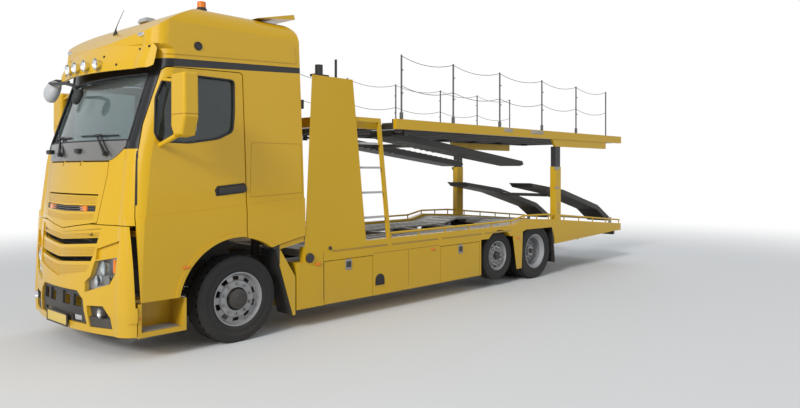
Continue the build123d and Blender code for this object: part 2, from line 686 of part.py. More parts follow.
front_tyre = tyre(0, axle_height, wheel_outer_y, tyre_width, tyre_radius, rim_radius)
front_rim = rim(0, axle_height, wheel_outer_y, tyre_width, rim_radius, 60, stub_radius + running_gap)
drive_outer_tyre = tyre(drive_axle_x, axle_height, wheel_outer_y, tyre_width, tyre_radius, rim_radius)
drive_inner_tyre = Pos(0, tyre_width + twin_gap, 0) * drive_outer_tyre
hub_bore = stub_radius + running_gap
drive_outer_rim = rim(drive_axle_x, axle_height, wheel_outer_y, tyre_width, rim_radius, 150, hub_bore)
inner_y = wheel_outer_y - tyre_width - twin_gap
drive_inner_rim = rim(drive_axle_x, axle_height, inner_y, tyre_width, rim_radius, 40, hub_bore)
twin_spacer = wheel_profile([(-1080, hub_bore), (-1080, 92), (-820, 92), (-820, hub_bore)],
                            drive_axle_x, axle_height)
pusher_tyre = tyre(pusher_axle_x, pusher_height, wheel_outer_y - 15, pusher_tyre_width, pusher_tyre_radius,
                   pusher_rim_radius)
pusher_rim = rim(pusher_axle_x, pusher_height, wheel_outer_y - 15, pusher_tyre_width, pusher_rim_radius, 45,
                 hub_bore)
wheels = {
    "front": (front_tyre, front_rim),
    "drive": ([drive_outer_tyre, drive_inner_tyre], drive_outer_rim + drive_inner_rim + twin_spacer),
    "pusher": (pusher_tyre, pusher_rim),
}
for name, (rubber, steel) in wheels.items():
    left_rubber = Compound(solids_of(rubber))
    left_steel = Compound(solids_of(steel))
    save(f"tyre_{name}_left", left_rubber)
    save(f"tyre_{name}_right", other_side(left_rubber))
    save(f"rim_{name}_left", left_steel)
    save(f"rim_{name}_right", other_side(left_steel))

# Drive axle: banjo housing, tapered tubes, stubs, air springs and the shaft from the engine
housing = Pos(drive_axle_x, 0, axle_height) * Sphere(190) + across(70, drive_axle_x, axle_height, -620, 620)
drive_stub = across(stub_radius, drive_axle_x, axle_height, -1150, 1150)
air_seat = [Pos(drive_axle_x + x, y, 515) * Cylinder(95, 90) for x in (-290, 290) for y in (-395, 395)]
spring_bar = [block(drive_axle_x - 360, drive_axle_x + 360, y - 45, y + 45, 425, 471)
              for y in (-395, 395)]
drive_axle = housing + drive_stub + spring_bar + air_seat
drive_shaft = rod_between((400, 0, 700), (drive_axle_x - 150, 0, 560), 40) - engine - housing
save("drive_axle", drive_axle, drive_shaft)

# Lifting axle ahead of the drive axle
pusher_beam = block(pusher_axle_x - 45, pusher_axle_x + 45, -560, 560, 430, 528)
for side in (-1, 1):
    pusher_beam = pusher_beam + across(stub_radius, pusher_axle_x, pusher_height, side * 550, side * 1150)
pusher_arm = [block(pusher_axle_x - 420, pusher_axle_x + 60, y - 40, y + 40, 470, 530) for y in (-395, 395)]
pusher_hanger = [block(pusher_axle_x - 420, pusher_axle_x - 330, y - 40, y + 40, 525, rail_bottom_z)
                 for y in (-395, 395)]
save("pusher_axle", pusher_beam + pusher_arm + pusher_hanger)

# Front mudguards behind each steered wheel, with the dark extension up to the tower's foot
guard_inner_y = 930
guard = side_prism([(467, 985), (712, 185), (740, 185), (740, 640), (525, 985)],
                   -body_half_width + 5, -guard_inner_y)
guard_bar = side_prism([(440, 985), (432, 1015), (875, 1112), (873, 1052), (525, 985)],
                       -body_half_width + 10, -1150)
guard_arm = block(700, 735, -guard_inner_y - 5, -rail_outer_y, 600, 640)
save("front_mudguards", both_sides(guard + guard_bar + guard_arm))

# Side bodies with two lockers each side
lockers = {"front": (1165, 1980), "rear": (3325, 4260)}
lid_hinge_y = body_half_width - lid_thickness / 2
lid_hinge_z = side_bottom_z + 17
side_block = block(side_front_x, side_rear_x, -body_half_width, -side_inner_y, side_bottom_z, locker_top_z)
for x0, x1 in lockers.values():
    mouth = block(x0 - 2, x1 + 2, -body_half_width - 5, -body_half_width + lid_thickness + lid_gap,
                  side_bottom_z - 1, locker_top_z - 20)
    room = block(x0 + side_wall, x1 - side_wall, -body_half_width + lid_thickness, -side_inner_y - side_wall,
                 side_bottom_z + side_wall, locker_top_z - side_wall - 20)
    side_block = side_block - mouth - room
    for start, end in ((x0 - 8, x0 + 40), (x1 - 40, x1 + 8)):
        side_block = side_block + across_x(6, start, end, -lid_hinge_y, lid_hinge_z)
for x in (1000, 2650, 4290):
    bracket_end = min(x + 30, side_rear_x)
    side_block = side_block + block(x - 30, bracket_end, -side_inner_y - 1, -rail_outer_y, 690, 770)
save("side_bodies", both_sides(side_block))
for name, (x0, x1) in lockers.items():
    lid = block(x0 + 6, x1 - 6, -body_half_width, -body_half_width + lid_thickness, side_bottom_z + 2,
                locker_top_z - 28)
    lid = lid - across_x(6 + running_gap, x0, x0 + 45, -lid_hinge_y, lid_hinge_z)
    lid = lid - across_x(6 + running_gap, x1 - 45, x1, -lid_hinge_y, lid_hinge_z)
    save(f"lid_{name}_left", lid)
    save(f"lid_{name}_right", other_side(lid))

# Deck edge beams: level to the rear axles, over the wheels, then down to the tail
edge_top = [(880, deck_edge_top_z), (5160, deck_edge_top_z), (5540, 1060), (6400, 1010),
            (rear_reach - 20, 780)]
edge_bottom = [(rear_reach - 20, 640), (6480, 640), (6380, 870), (5560, 880), (5240, locker_top_z),
               (880, locker_top_z)]
edge = side_prism(edge_top + edge_bottom, -body_half_width + deck_edge_skin, -body_half_width + deck_edge_width)
edge = edge - across(tyre_radius + 30, drive_axle_x, axle_height, -side_reach, 0)
edge = edge + side_prism(edge_top + edge_bottom, -body_half_width, -body_half_width + deck_edge_skin)
edge = edge - across(pusher_tyre_radius + 32, pusher_axle_x, pusher_height, -side_reach, 0)
wedge = side_prism([(6430, 860), (8650, 650), (8650, 632), (6500, 560)],
                   -body_half_width + 4, -body_half_width + 50)
edge_rail_line = [(2330, 1045), (5160, 1050), (5540, 1120), (6320, 1105), (rear_reach - 30, 855)]
tube_radius = 16
tube_path = Polyline(*[(x, -1215, z) for x, z in edge_rail_line])
tube_section = Plane(tube_path @ 0, z_dir=tube_path % 0) * Circle(tube_radius)
edge_rail = [sweep(tube_section, path=tube_path, transition=Transition.RIGHT)]


def height_on(line, x):
    """Height of a broken line at a station."""
    for (x0, z0), (x1, z1) in zip(line, line[1:]):
        if x0 <= x <= x1:
            return z0 + (z1 - z0) * (x - x0) / (x1 - x0)
    return line[-1][1]


for x in [2345, 2900, 3470, 4040, 4610, 5160, 5540, 5930, 6320, 6850, 7390, 7930, 8470, rear_reach - 40]:
    foot_z = height_on(edge_top, x) - 20
    edge_rail.append(block(x - 8, x + 8, -1223, -1207, foot_z, height_on(edge_rail_line, x)))
edge_whole = edge + wedge + edge_rail
save("deck_edges", both_sides(edge_whole))

# Lower deck: two wheel tracks and cross bearers between the edge beams
deck_line = [(900, 940), (5180, 940), (5560, 1020), (6400, 975), (rear_reach - 40, 745)]
track_inner_y = 330
deck_under = [(x, z - deck_thickness) for x, z in reversed(deck_line)]
track = side_prism(deck_line + deck_under, -body_half_width + deck_edge_width, -track_inner_y)
bearers = []
for x in (950, 1750, 2550, 3350, 4150, 5000, 5900, 6700, 7600, 8500):
    z = height_on(deck_line, x) - deck_thickness
    reach = 540 if 4400 < x < 6400 else body_half_width - deck_edge_width
    bearers.append(block(x - 40, x + 40, -reach, reach, z - 60, z + 10))
deck = track + other_side(track) + bearers
deck_posts = []
for x in (1500, 2700, 3900, 5400, 6300):
    z = height_on(deck_line, x) - deck_thickness
    deck_posts.append(block(x - 40, x + 40, -rail_outer_y, -rail_outer_y + 60, rail_top_z, z + 5))
lower_deck = deck + solids_of(both_sides(Compound(deck_posts)))

# Rear: guards over the wheels, the yellow spacer between them and the flaps behind
spacer = side_prism([(5160, 870), (5460, 870), (5420, 230), (5285, 230)],
                    -body_half_width + 2, -body_half_width + 12)
rear_flap = side_prism([(6375, 880), (6470, 225), (6490, 225), (6410, 880)], -body_half_width + 2, -600)
save("rear_mudguards", both_sides(spacer - edge), both_sides(rear_flap - edge - wedge))

# Towers at the deck's front, tapered in side view, and the ladder behind the left one
tower_side = [(tower_base[0], tower_base_z), (tower_base[1], tower_base_z), (tower_top[1], tower_top_z),
              (tower_top[0], tower_top_z)]
tower_face = make_face(Polyline(*[(x if x < 1200 else x + 400, -tower_outer_y, z) for x, z in tower_side],
                                close=True))
tower_run = (tower_outer_y - tower_inner_y) * hypot(tower_slant, 1)
tower = side_prism(tower_side, -tower_outer_y, -tower_inner_y) & extrude(
    tower_face, amount=tower_run, dir=(tower_slant, 1, 0))
save("towers", both_sides(tower))
ladder_y = (-1235, -1195)
stringer = side_prism([(2085, 2600), (2135, 2600), (2325, deck_edge_top_z), (2275, deck_edge_top_z)], *ladder_y)
ladder_top = block(1600, 2130, ladder_y[0], ladder_y[1], 2545, 2600) - tower
rungs = []
for z in (2260, 1940, 1610, 1280):
    x1 = 2300 + (2110 - 2300) * (z - 960) / (2590 - 960)
    rungs.append(block(1600, x1, -1232, -1198, z - 14, z + 14) - tower)
save("ladder", stringer + ladder_top + rungs)
tower_lamp = Pos(1180, -1130, tower_top_z + 75) * Cylinder(48, 150)
tower_lamp_base = block(1080, 1300, -1180, -1080, tower_top_z, tower_top_z + 30)
tower_rod = Pos(1450, -1130, tower_top_z + 125) * Cylinder(16, 250)
save("tower_fittings", both_sides(tower_lamp + tower_lamp_base), both_sides(tower_rod))

# Telescopic columns: fixed sleeves on the deck's edge
sleeve = block(column_x - sleeve_length / 2, column_x + sleeve_length / 2, -1240, -1240 + sleeve_width,
               sleeve_bottom_z - 25, sleeve_top_z)
bore = block(column_x - sleeve_length / 2 + sleeve_wall, column_x + sleeve_length / 2 - sleeve_wall,
             -1240 + sleeve_wall, -1240 + sleeve_width - sleeve_wall, sleeve_bottom_z + 20, sleeve_top_z + 1)
save("column_sleeves", both_sides(sleeve - bore - edge_whole))

# Upper deck: edge rails, cross bearers, tracks, the front lift beam and the inner posts that ride with it
upper_bottom_z = upper_rail_top_z - upper_rail_height
upper_edge = block(upper_front_x, rear_reach, -body_half_width, -body_half_width + upper_rail_width,
                   upper_bottom_z, upper_rail_top_z)
lower_strip = side_prism([(6410, upper_bottom_z), (6520, 2340), (8440, 2340), (8440, upper_bottom_z)],
                         -body_half_width + 12, -body_half_width + 62)
upper_inner_y = body_half_width - upper_rail_width
upper_bearers = [block(x - 35, x + 35, -upper_inner_y, upper_inner_y, upper_bottom_z, upper_bottom_z + 70)
                 for x in (2460, 3400, 4300, 5200, 6100, 7000, 7900, 8900)]
upper_track = block(upper_front_x, rear_reach - 20, -upper_inner_y, -960,
                    upper_bottom_z + 70, upper_bottom_z + 90)
front_arm = block(1250, 2425, -940, -860, upper_bottom_z, upper_bottom_z + 110)
lift_beam = block(1250, 1370, -tower_inner_y + 6, tower_inner_y - 6, upper_bottom_z - 20, upper_bottom_z + 110)
post_y0 = -1240 + sleeve_wall + post_clearance
post_y1 = -1240 + sleeve_width - sleeve_wall - post_clearance
post_half = sleeve_length / 2 - sleeve_wall - post_clearance
inner_post = block(column_x - post_half, column_x + post_half, post_y0, post_y1, 1450, 2340)
save("upper_edges", both_sides(upper_edge + lower_strip))
save("upper_bearers", upper_bearers)
save("upper_tracks", both_sides(upper_track))
save("lift_frame", lift_beam + front_arm + other_side(front_arm))
save("lift_posts", both_sides(inner_post))

# Railing of the upper deck: posts and slack wires at two heights
post_stations = [2550, 3660, 4840, 6100, 7290, 8480]
rail_post_y = -1215
rail_post_top_z = 3515
wire_heights = (3495, 3080)
post_height = rail_post_top_z - upper_rail_top_z
posts = [Pos(x, rail_post_y, upper_rail_top_z + post_height / 2) * Cylinder(13, post_height)
         for x in post_stations]
save("railing_posts", both_sides(Compound(posts)))
wires = []
for z in wire_heights:
    for x0, x1 in zip(post_stations, post_stations[1:]):
        start = (x0 + 14.5, rail_post_y, z)
        end = (x1 - 14.5, rail_post_y, z)
        sag = ThreePointArc(start, ((x0 + x1) / 2, rail_post_y, z - 75), end)
        wires.append(sweep(Plane(start, z_dir=sag % 0) * RegularPolygon(4.5, 6), path=sag))
save("railing_wires", both_sides(Compound(wires)))

# Tilting tracks under the upper deck
track_hinge_x = 2700
track_hinge_z = 2440
track_tip = (5900, 2010)
inner_line = [
    (track_hinge_x - 60, track_hinge_z + 30), (track_tip[0], track_tip[1] + 60),
    (track_tip[0] + 40, track_tip[1]), (track_tip[0] - 60, track_tip[1] - 30),
    (track_hinge_x + 200, track_hinge_z - 110), (track_hinge_x - 60, track_hinge_z - 50),
]
inner_track = side_prism(inner_line, -930, -480)
hinge_bore = stub_radius / 2 + running_gap
inner_tie = block(track_hinge_x + 900, track_hinge_x + 980, -480, 480, 2270, 2330)
inner_pair = inner_track + other_side(inner_track) + inner_tie
inner_pair = inner_pair - across(hinge_bore, track_hinge_x, track_hinge_z - 10, -1200, 1200)
save("inner_tracks", inner_pair)
hinge_rod = across(stub_radius / 2, track_hinge_x, track_hinge_z - 10, -1160, 1160)
hinge_lug = block(track_hinge_x - 40, track_hinge_x + 40, -upper_inner_y, -1130, track_hinge_z - 50, 2545)
save("track_hinge", hinge_rod + hinge_lug + other_side(hinge_lug))

# Rear platform: two tracks that rise from the tail
platform_hinge = (8990, 870)
platform_top = [(6060, 1670), (7180, 1530), (8540, 1180), (9060, 900)]
platform_under = [(9060, 840), (8960, 830), (8500, 1090), (7150, 1440), (6160, 1590)]
platform = side_prism(platform_top + platform_under, -1000, -520)
platform_tie = block(7300, 7380, -530, 530, 1380, 1440)
platform_pair = platform + other_side(platform) + platform_tie
platform_pair = platform_pair - across(hinge_bore, platform_hinge[0], platform_hinge[1], -1200, 1200)
save("rear_platform", platform_pair)
platform_rod = across(stub_radius / 2, platform_hinge[0], platform_hinge[1], -1060, 1060)
platform_lug = block(platform_hinge[0] - 35, platform_hinge[0] + 35, -1060, -1020, 735, platform_hinge[1] + 35)
save("lower_deck", lower_deck + platform_rod + platform_lug + other_side(platform_lug))

# Tail: coupling head and lamp bar under the deck
tail_plate = block(rail_end_x, rail_end_x + 20, -250, 250, 380, 645)
jaw = block(rail_end_x + 20, rear_reach, -90, 90, 430, 560) - block(
    rail_end_x + 20, rear_reach + 5, -91, 91, 475, 515)
jaw = jaw - Pos(rear_reach - 35, 0, 495) * Cylinder(25, 200)
save("tow_coupling", tail_plate + jaw)
lamp_bar = block(rail_end_x - 10, rail_end_x + 15, -1130, -700, 560, 640)
save("tail_lamps", both_sides(lamp_bar - tail_beam))

# Number plate, left blank
plate = block(-front_overhang, -front_overhang + 5, -260, 260, 290, 400)
plate_back = block(-front_overhang + 5, -1370, -200, 200, 300, 390) - cab_outer
save("number_plate", plate + plate_back)
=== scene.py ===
import bpy
from math import atan2, cos, pi, radians, sin
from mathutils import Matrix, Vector


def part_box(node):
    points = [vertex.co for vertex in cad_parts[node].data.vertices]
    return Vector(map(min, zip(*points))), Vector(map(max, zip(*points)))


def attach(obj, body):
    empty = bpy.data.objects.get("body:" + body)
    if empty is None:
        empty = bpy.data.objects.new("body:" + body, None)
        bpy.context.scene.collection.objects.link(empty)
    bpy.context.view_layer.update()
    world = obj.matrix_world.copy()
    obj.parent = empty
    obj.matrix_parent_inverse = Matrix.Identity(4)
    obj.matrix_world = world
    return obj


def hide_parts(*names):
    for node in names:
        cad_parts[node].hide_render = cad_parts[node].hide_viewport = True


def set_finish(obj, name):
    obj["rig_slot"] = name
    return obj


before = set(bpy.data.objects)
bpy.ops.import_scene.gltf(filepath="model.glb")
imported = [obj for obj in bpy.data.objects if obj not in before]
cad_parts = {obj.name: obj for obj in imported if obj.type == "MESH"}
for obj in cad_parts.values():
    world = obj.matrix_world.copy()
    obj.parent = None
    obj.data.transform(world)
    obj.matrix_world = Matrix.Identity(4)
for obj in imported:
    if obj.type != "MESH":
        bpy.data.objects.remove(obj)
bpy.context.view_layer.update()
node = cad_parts
scene = bpy.context.scene

# Camera: the photograph is taken from the kerb ahead of the cab's left corner, at a tall person's eye
# height. Stations along the truck are measured back from the front axle, as on a chassis drawing.
tyre_low, tyre_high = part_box("tyre_front_left")
front_axle = (tyre_low.x + tyre_high.x) / 2


def at(x, y, z):
    """A place by its station behind the front axle, its distance from the middle and its height."""
    return Vector((front_axle + x, y, z))


camera_data = bpy.data.cameras.new("photo_camera")
camera_data.lens = 30.878
camera_data.sensor_width = 36
camera_data.shift_x = -0.0765
camera_data.shift_y = -0.0424
camera = bpy.data.objects.new("photo_camera", camera_data)
camera.location = at(-4.253, -7.986, 1.907)
camera.rotation_euler = (radians(90), 0, radians(-50.11))
scene.collection.objects.link(camera)
scene.camera = camera


# Studio: an even sky, a low sun and three broad area lamps, one of them from the front left as in the
# photograph. The floor is pale and plain, and fades into the white background.
def new_node(tree, kind, sockets=(), **settings):
    """A node with its settings made. Each socket gets its value, or is linked from another node's output."""
    made = tree.nodes.new(kind)
    for setting, value in settings.items():
        setattr(made, setting, value)
    for socket, value in dict(sockets).items():
        if isinstance(value, bpy.types.NodeSocket):
            tree.links.new(value, made.inputs[socket])
        else:
            made.inputs[socket].default_value = value
    return made


def reckon(tree, operation, *terms, **settings):
    """The output of a sum whose terms are numbers or other outputs."""
    return new_node(tree, "ShaderNodeMath", enumerate(terms), operation=operation, **settings).outputs[0]


scene.view_settings.view_transform = "Standard"
world = bpy.data.worlds.new("studio_sky")
scene.world = world
world.use_nodes = True
sky = world.node_tree
sky.nodes.clear()
ray = new_node(sky, "ShaderNodeLightPath").outputs
direct = reckon(sky, "MAXIMUM", ray["Is Camera Ray"], ray["Is Transmission Ray"])
white_share = reckon(sky, "MULTIPLY_ADD", ray["Is Glossy Ray"], 0.35, direct, use_clamp=True)
light = new_node(sky, "ShaderNodeBackground", {"Color": (0.86, 0.92, 1.0, 1), "Strength": 0.44}).outputs[0]
white = new_node(sky, "ShaderNodeBackground", {"Color": (1, 1, 1, 1), "Strength": 1.0}).outputs[0]
blend = new_node(sky, "ShaderNodeMixShader", {0: white_share, 1: light, 2: white}).outputs[0]
new_node(sky, "ShaderNodeOutputWorld", {"Surface": blend})

for name, place, target, size, power in (
    ("front_lamp", at(-10, -4, 8), at(0, 0, 1.5), 9, 650),
    ("side_lamp", at(6, -14, 8), at(4, 0, 1.0), 12, 270),
    ("back_lamp", at(16, 8, 9), at(6, 0, 1.5), 9, 350),
):
    lamp_data = bpy.data.lights.new(name, "AREA")
    lamp_data.size = size
    lamp_data.energy = power
    lamp = bpy.data.objects.new(name, lamp_data)
    lamp.location = place
    lamp.rotation_euler = (target - place).to_track_quat("-Z", "Y").to_euler()
    scene.collection.objects.link(lamp)
sun_data = bpy.data.lights.new("low_sun", "SUN")
sun_data.energy = 1.7
sun_data.angle = radians(12)
sun = bpy.data.objects.new("low_sun", sun_data)
sun.rotation_euler = Vector((0.90, 0.26, -0.55)).to_track_quat("-Z", "Y").to_euler()
sun.visible_glossy = False
scene.collection.objects.link(sun)

floor_finish = bpy.data.materials.new("floor_finish")
floor_finish.use_nodes = True
floor_tree = floor_finish.node_tree
floor_shader = floor_tree.nodes["Principled BSDF"]
floor_shader.inputs["Base Color"].default_value = (0.70, 0.70, 0.69, 1)
floor_shader.inputs["Roughness"].default_value = 0.85
place = new_node(floor_tree, "ShaderNodeTexCoord").outputs["Object"]
far = new_node(floor_tree, "ShaderNodeVectorMath", {0: place}, operation="LENGTH").outputs["Value"]
fade = new_node(floor_tree, "ShaderNodeMapRange", {"Value": far, "From Min": 7.0, "From Max": 17.0},
                interpolation_type="SMOOTHSTEP").outputs[0]
ray = new_node(floor_tree, "ShaderNodeLightPath").outputs
direct = reckon(floor_tree, "MAXIMUM", ray["Is Camera Ray"], ray["Is Transmission Ray"])
direct = reckon(floor_tree, "MAXIMUM", direct, ray["Is Glossy Ray"])
white_share = reckon(floor_tree, "MULTIPLY", fade, direct)
white = new_node(floor_tree, "ShaderNodeEmission").outputs[0]
blend = new_node(floor_tree, "ShaderNodeMixShader", {0: white_share, 1: floor_shader.outputs[0], 2: white})
floor_tree.links.new(blend.outputs[0], floor_tree.nodes["Material Output"].inputs["Surface"])
bpy.ops.mesh.primitive_plane_add(size=240, location=(0, 0, 0))
floor = bpy.context.object
floor.name = "floor"
floor.data.materials.append(floor_finish)


# Weather on the surfaces: road film that is thickest low down, duller patches where rain has run and a
# fine grain under the paint. Every hard finish of the truck takes its colour through this.
def mixed(tree, factor, a, b, data_type="RGBA", blend_type="MIX"):
    """The output of a mix of two colours or two numbers."""
    return new_node(tree, "ShaderNodeMix", {"Factor": factor, "A": a, "B": b}, data_type=data_type,
                    blend_type=blend_type).outputs["Result"]


weather = bpy.data.node_groups.new("weather", "ShaderNodeTree")
for label, kind, value in (
    ("Clean", "NodeSocketColor", (0.8, 0.8, 0.8, 1)), ("Film", "NodeSocketColor", (0.25, 0.21, 0.16, 1)),
    ("Film Top", "NodeSocketFloat", 1.0), ("Film Amount", "NodeSocketFloat", 0.5),
    ("Patches", "NodeSocketFloat", 0.12), ("Clean Roughness", "NodeSocketFloat", 0.3),
    ("Film Roughness", "NodeSocketFloat", 0.75), ("Grain Scale", "NodeSocketFloat", 60.0),
):
    weather.interface.new_socket(name=label, in_out="INPUT", socket_type=kind).default_value = value
for label, kind in (("Color", "NodeSocketColor"), ("Roughness", "NodeSocketFloat"),
                    ("Height", "NodeSocketFloat")):
    weather.interface.new_socket(name=label, in_out="OUTPUT", socket_type=kind)
entry = new_node(weather, "NodeGroupInput").outputs
place = new_node(weather, "ShaderNodeTexCoord").outputs["Object"]
height = new_node(weather, "ShaderNodeSeparateXYZ", {0: place}).outputs["Z"]
broad = new_node(weather, "ShaderNodeTexNoise", {"Vector": place, "Scale": 1.7, "Detail": 5.0}).outputs["Fac"]
fine = new_node(weather, "ShaderNodeTexNoise", {"Vector": place, "Scale": 23.0, "Detail": 6.0}).outputs["Fac"]
grain = new_node(weather, "ShaderNodeTexNoise",
                 {"Vector": place, "Scale": entry["Grain Scale"], "Detail": 2.0}).outputs["Fac"]
low_down = new_node(weather, "ShaderNodeMapRange", {
    "Value": height, "From Min": 0.0, "From Max": entry["Film Top"], "To Min": 1.0, "To Max": 0.0,
}).outputs[0]
cloud = reckon(weather, "MULTIPLY_ADD", broad, 1.4, -0.25)
speck = reckon(weather, "MULTIPLY_ADD", fine, 0.9, 0.35)
film = reckon(weather, "MULTIPLY", reckon(weather, "MULTIPLY", low_down, speck), cloud)
film = reckon(weather, "MULTIPLY", film, entry["Film Amount"], use_clamp=True)
dulled = mixed(weather, reckon(weather, "MULTIPLY", cloud, entry["Patches"]), entry["Clean"],
               (0.62, 0.60, 0.56, 1), blend_type="MULTIPLY")
new_node(weather, "NodeGroupOutput", {
    "Color": mixed(weather, film, dulled, entry["Film"]),
    "Roughness": mixed(weather, film, entry["Clean Roughness"], entry["Film Roughness"], data_type="FLOAT"),
    "Height": grain,
})
slots = {}


def weathered(name, clean, roughness, film_top=1.0, film=0.5, patches=0.12, grain=60.0, bump=0.0006,
              metallic=0.0, coat=0.0, slot="dark_plastic"):
    """A hard finish seen through the weather, noted with the slot of the pieces that wear it."""
    finish = bpy.data.materials.new(name)
    finish.use_nodes = True
    tree = finish.node_tree
    shader = tree.nodes["Principled BSDF"]
    layer = new_node(tree, "ShaderNodeGroup", name="weather", node_tree=weather)
    grain_height = layer.outputs["Height"]
    relief = new_node(tree, "ShaderNodeBump", {"Height": grain_height, "Distance": bump}, name="relief")
    for worker, values in (
        (layer, {"Clean": (*clean, 1), "Film Top": film_top, "Film Amount": film, "Patches": patches,
                 "Clean Roughness": roughness, "Grain Scale": grain}),
        (shader, {"Metallic": metallic, "Coat Weight": coat, "Coat Roughness": 0.06,
                  "Specular IOR Level": 0.3 if coat else 0.5}),
    ):
        for label, value in values.items():
            worker.inputs[label].default_value = value
    for source, label in ((layer.outputs["Color"], "Base Color"), (layer.outputs["Roughness"], "Roughness"),
                          (relief.outputs["Normal"], "Normal")):
        tree.links.new(source, shader.inputs[label])
    slots[finish.name] = slot
    return finish


def dress(finish, *names):
    """Put a finish on carried-over pieces."""
    for name in names:
        node[name].data.materials.clear()
        node[name].data.materials.append(finish)


# Yellow paint: gloss on the cab and the body builder's satin coat on the steelwork. It is sprayed over
# primer, and road film lies on it low down.
cab_yellow = (0.62, 0.365, 0.009)
body_yellow = (0.60, 0.36, 0.010)
cab_gloss = {"film_top": 1.3, "film": 0.25, "patches": 0.07, "grain": 190.0, "bump": 0.0002, "coat": 0.25}
satin = {"grain": 150.0, "bump": 0.0003}
cab_paint = weathered("cab_paint", cab_yellow, 0.28, **cab_gloss)
body_paint = weathered("body_paint", body_yellow, 0.34, film=0.30, patches=0.10, coat=0.15, slot="body_paint",
                       **satin)
dress(cab_paint, "front_flap", "front_bumper", "roof_panels", "door_left", "door_right", "grille",
      "entry_steps")
dress(body_paint, "side_bodies", "lid_front_left", "lid_front_right", "lid_rear_left", "lid_rear_right",
      "deck_edges", "towers", "column_sleeves", "lift_frame")


# Black band under the roof and on the screen's pillars: the cab shell in gloss black, masked off on a line
# that rises a little to the rear. The shell's lining and floor inside are black as well.
def two_tone(finish, other, groups):
    """Mask a second colour into a finish where all the limits of a group hold. A limit is an axis, over or
    under, its value, and for a sloping one also the axis, the slope and the place that it starts from."""
    tree = finish.node_tree
    layer = tree.nodes["weather"]
    place = new_node(tree, "ShaderNodeTexCoord").outputs["Object"]
    split = new_node(tree, "ShaderNodeSeparateXYZ", {0: place}).outputs
    axes = {axis: split[axis] for axis in "XYZ"}
    axes["out"] = reckon(tree, "ABSOLUTE", axes["Y"])
    mask = None
    for group in groups:
        held = None
        for limit in group:
            axis, side, value, along, slope, begin = (*limit, "X", 0.0, 0.0)[:6]
            line = reckon(tree, "MULTIPLY_ADD", axes[along], slope, value - slope * begin)
            step = reckon(tree, "GREATER_THAN" if side == "over" else "LESS_THAN", axes[axis], line)
            held = reckon(tree, "MULTIPLY", held, step) if held else step
        mask = reckon(tree, "MAXIMUM", mask, held) if mask else held
    colour = mixed(tree, mask, tuple(layer.inputs["Clean"].default_value), (*other, 1))
    tree.links.new(colour, layer.inputs["Clean"])


band_front = front_axle - 0.80
floor_top = 1.238
lining_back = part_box("cab_shell")[1].x - 0.02
band_paint = weathered("banded_cab_paint", cab_yellow, 0.28, **cab_gloss)
two_tone(band_paint, (0.012, 0.012, 0.013), [
    [("Z", "over", 2.975, "X", 0.060, band_front), ("Z", "under", 3.060, "X", 0.050, band_front),
     ("X", "over", front_axle - 0.90)],
    [("X", "under", front_axle - 1.040, "Z", 0.36, 2.10), ("Z", "over", 2.12), ("Z", "under", 3.02)],
    [("out", "under", 1.09), ("X", "over", front_axle - 0.62), ("X", "under", lining_back),
     ("Z", "over", floor_top), ("Z", "under", 3.50)],
    [("out", "under", 1.00), ("X", "over", front_axle - 0.98), ("X", "under", front_axle - 0.60),
     ("Z", "over", floor_top), ("Z", "under", 2.98)],
    [("out", "under", 1.20), ("X", "over", front_axle - 1.09), ("X", "under", lining_back),
     ("Z", "over", floor_top), ("Z", "under", 1.32)],
])
dress(band_paint, "cab_shell")

# Painted and bare parts in one piece: black guards and flaps behind the wheels, worn rungs on the ladder,
# and painted shade on the upper deck's edge rails, whose inner faces are darkened near to black.
guard_paint = weathered("guard_paint", body_yellow, 0.36, film_top=1.1, film=0.4, **satin)
two_tone(guard_paint, (0.014, 0.014, 0.014), [[("X", "over", front_axle + 6.2)]])
dress(guard_paint, "rear_mudguards")
ladder_paint = weathered("ladder_paint", body_yellow, 0.36, film_top=0.5, film=0.2, **satin)
rung_half = 0.017
two_tone(ladder_paint, (0.42, 0.42, 0.40), [
    [("Z", "over", z - rung_half), ("Z", "under", z + rung_half),
     ("X", "under", front_axle + 2.235, "Z", -0.117, 0.96)] for z in (1.28, 1.61, 1.94, 2.26)
])
dress(ladder_paint, "ladder")
rail_paint_and_shade = weathered("rail_paint_and_shade", body_yellow, 0.36, film_top=0.5, film=0.2, patches=0.14, **satin)
# Painted shade: the rails' inner faces, which face in under the upper deck, are darkened near to black.
two_tone(rail_paint_and_shade, (0.05, 0.05, 0.05), [[("out", "under", 1.185)]])
dress(rail_paint_and_shade, "upper_edges")

# Dark steel and castings: the rails, axles and springs in satin chassis black, the engine's bare casting
# and the lift's blackened posts.
chassis_paint = weathered("chassis_paint", (0.030, 0.030, 0.033), 0.45, film_top=1.2, film=0.75, patches=0.2,
                          grain=90.0)
cast_metal = weathered("cast_metal", (0.13, 0.13, 0.14), 0.55, film_top=1.6, film=0.6, grain=40.0, bump=0.002,
                       metallic=0.4)
dark_steel = weathered("dark_steel", (0.028, 0.028, 0.031), 0.38, film_top=2.6, film=0.35, grain=80.0)
dress(chassis_paint, "chassis_frame", "front_axle", "knuckle_left", "knuckle_right", "drive_axle",
      "pusher_axle")
dress(cast_metal, "engine_block")
dress(dark_steel, "lift_posts", "track_hinge", "tow_coupling")

# Decks: steel tracks and bearers, hot-dipped and long since dulled by tyres. The tracks are punched with
# rows of round holes for the wheel chocks.
rolled = {"grain": 35.0, "bump": 0.0010}
deck_steel = weathered("deck_steel", (0.17, 0.165, 0.155), 0.55, film_top=3.2, film=0.45, patches=0.35,
                       metallic=0.55, **rolled)
dark_deck = weathered("dark_deck", (0.045, 0.044, 0.043), 0.5, film_top=3.0, film=0.35, patches=0.3,
                      metallic=0.3, **rolled)
worn_deck = weathered("worn_deck", (0.40, 0.385, 0.345), 0.5, film_top=3.2, film=0.25, patches=0.35,
                      metallic=0.2, slot="deck_steel", **rolled)
dress(deck_steel, "upper_tracks")
dress(worn_deck, "lower_deck")
dress(dark_deck, "upper_bearers", "inner_tracks", "rear_platform")

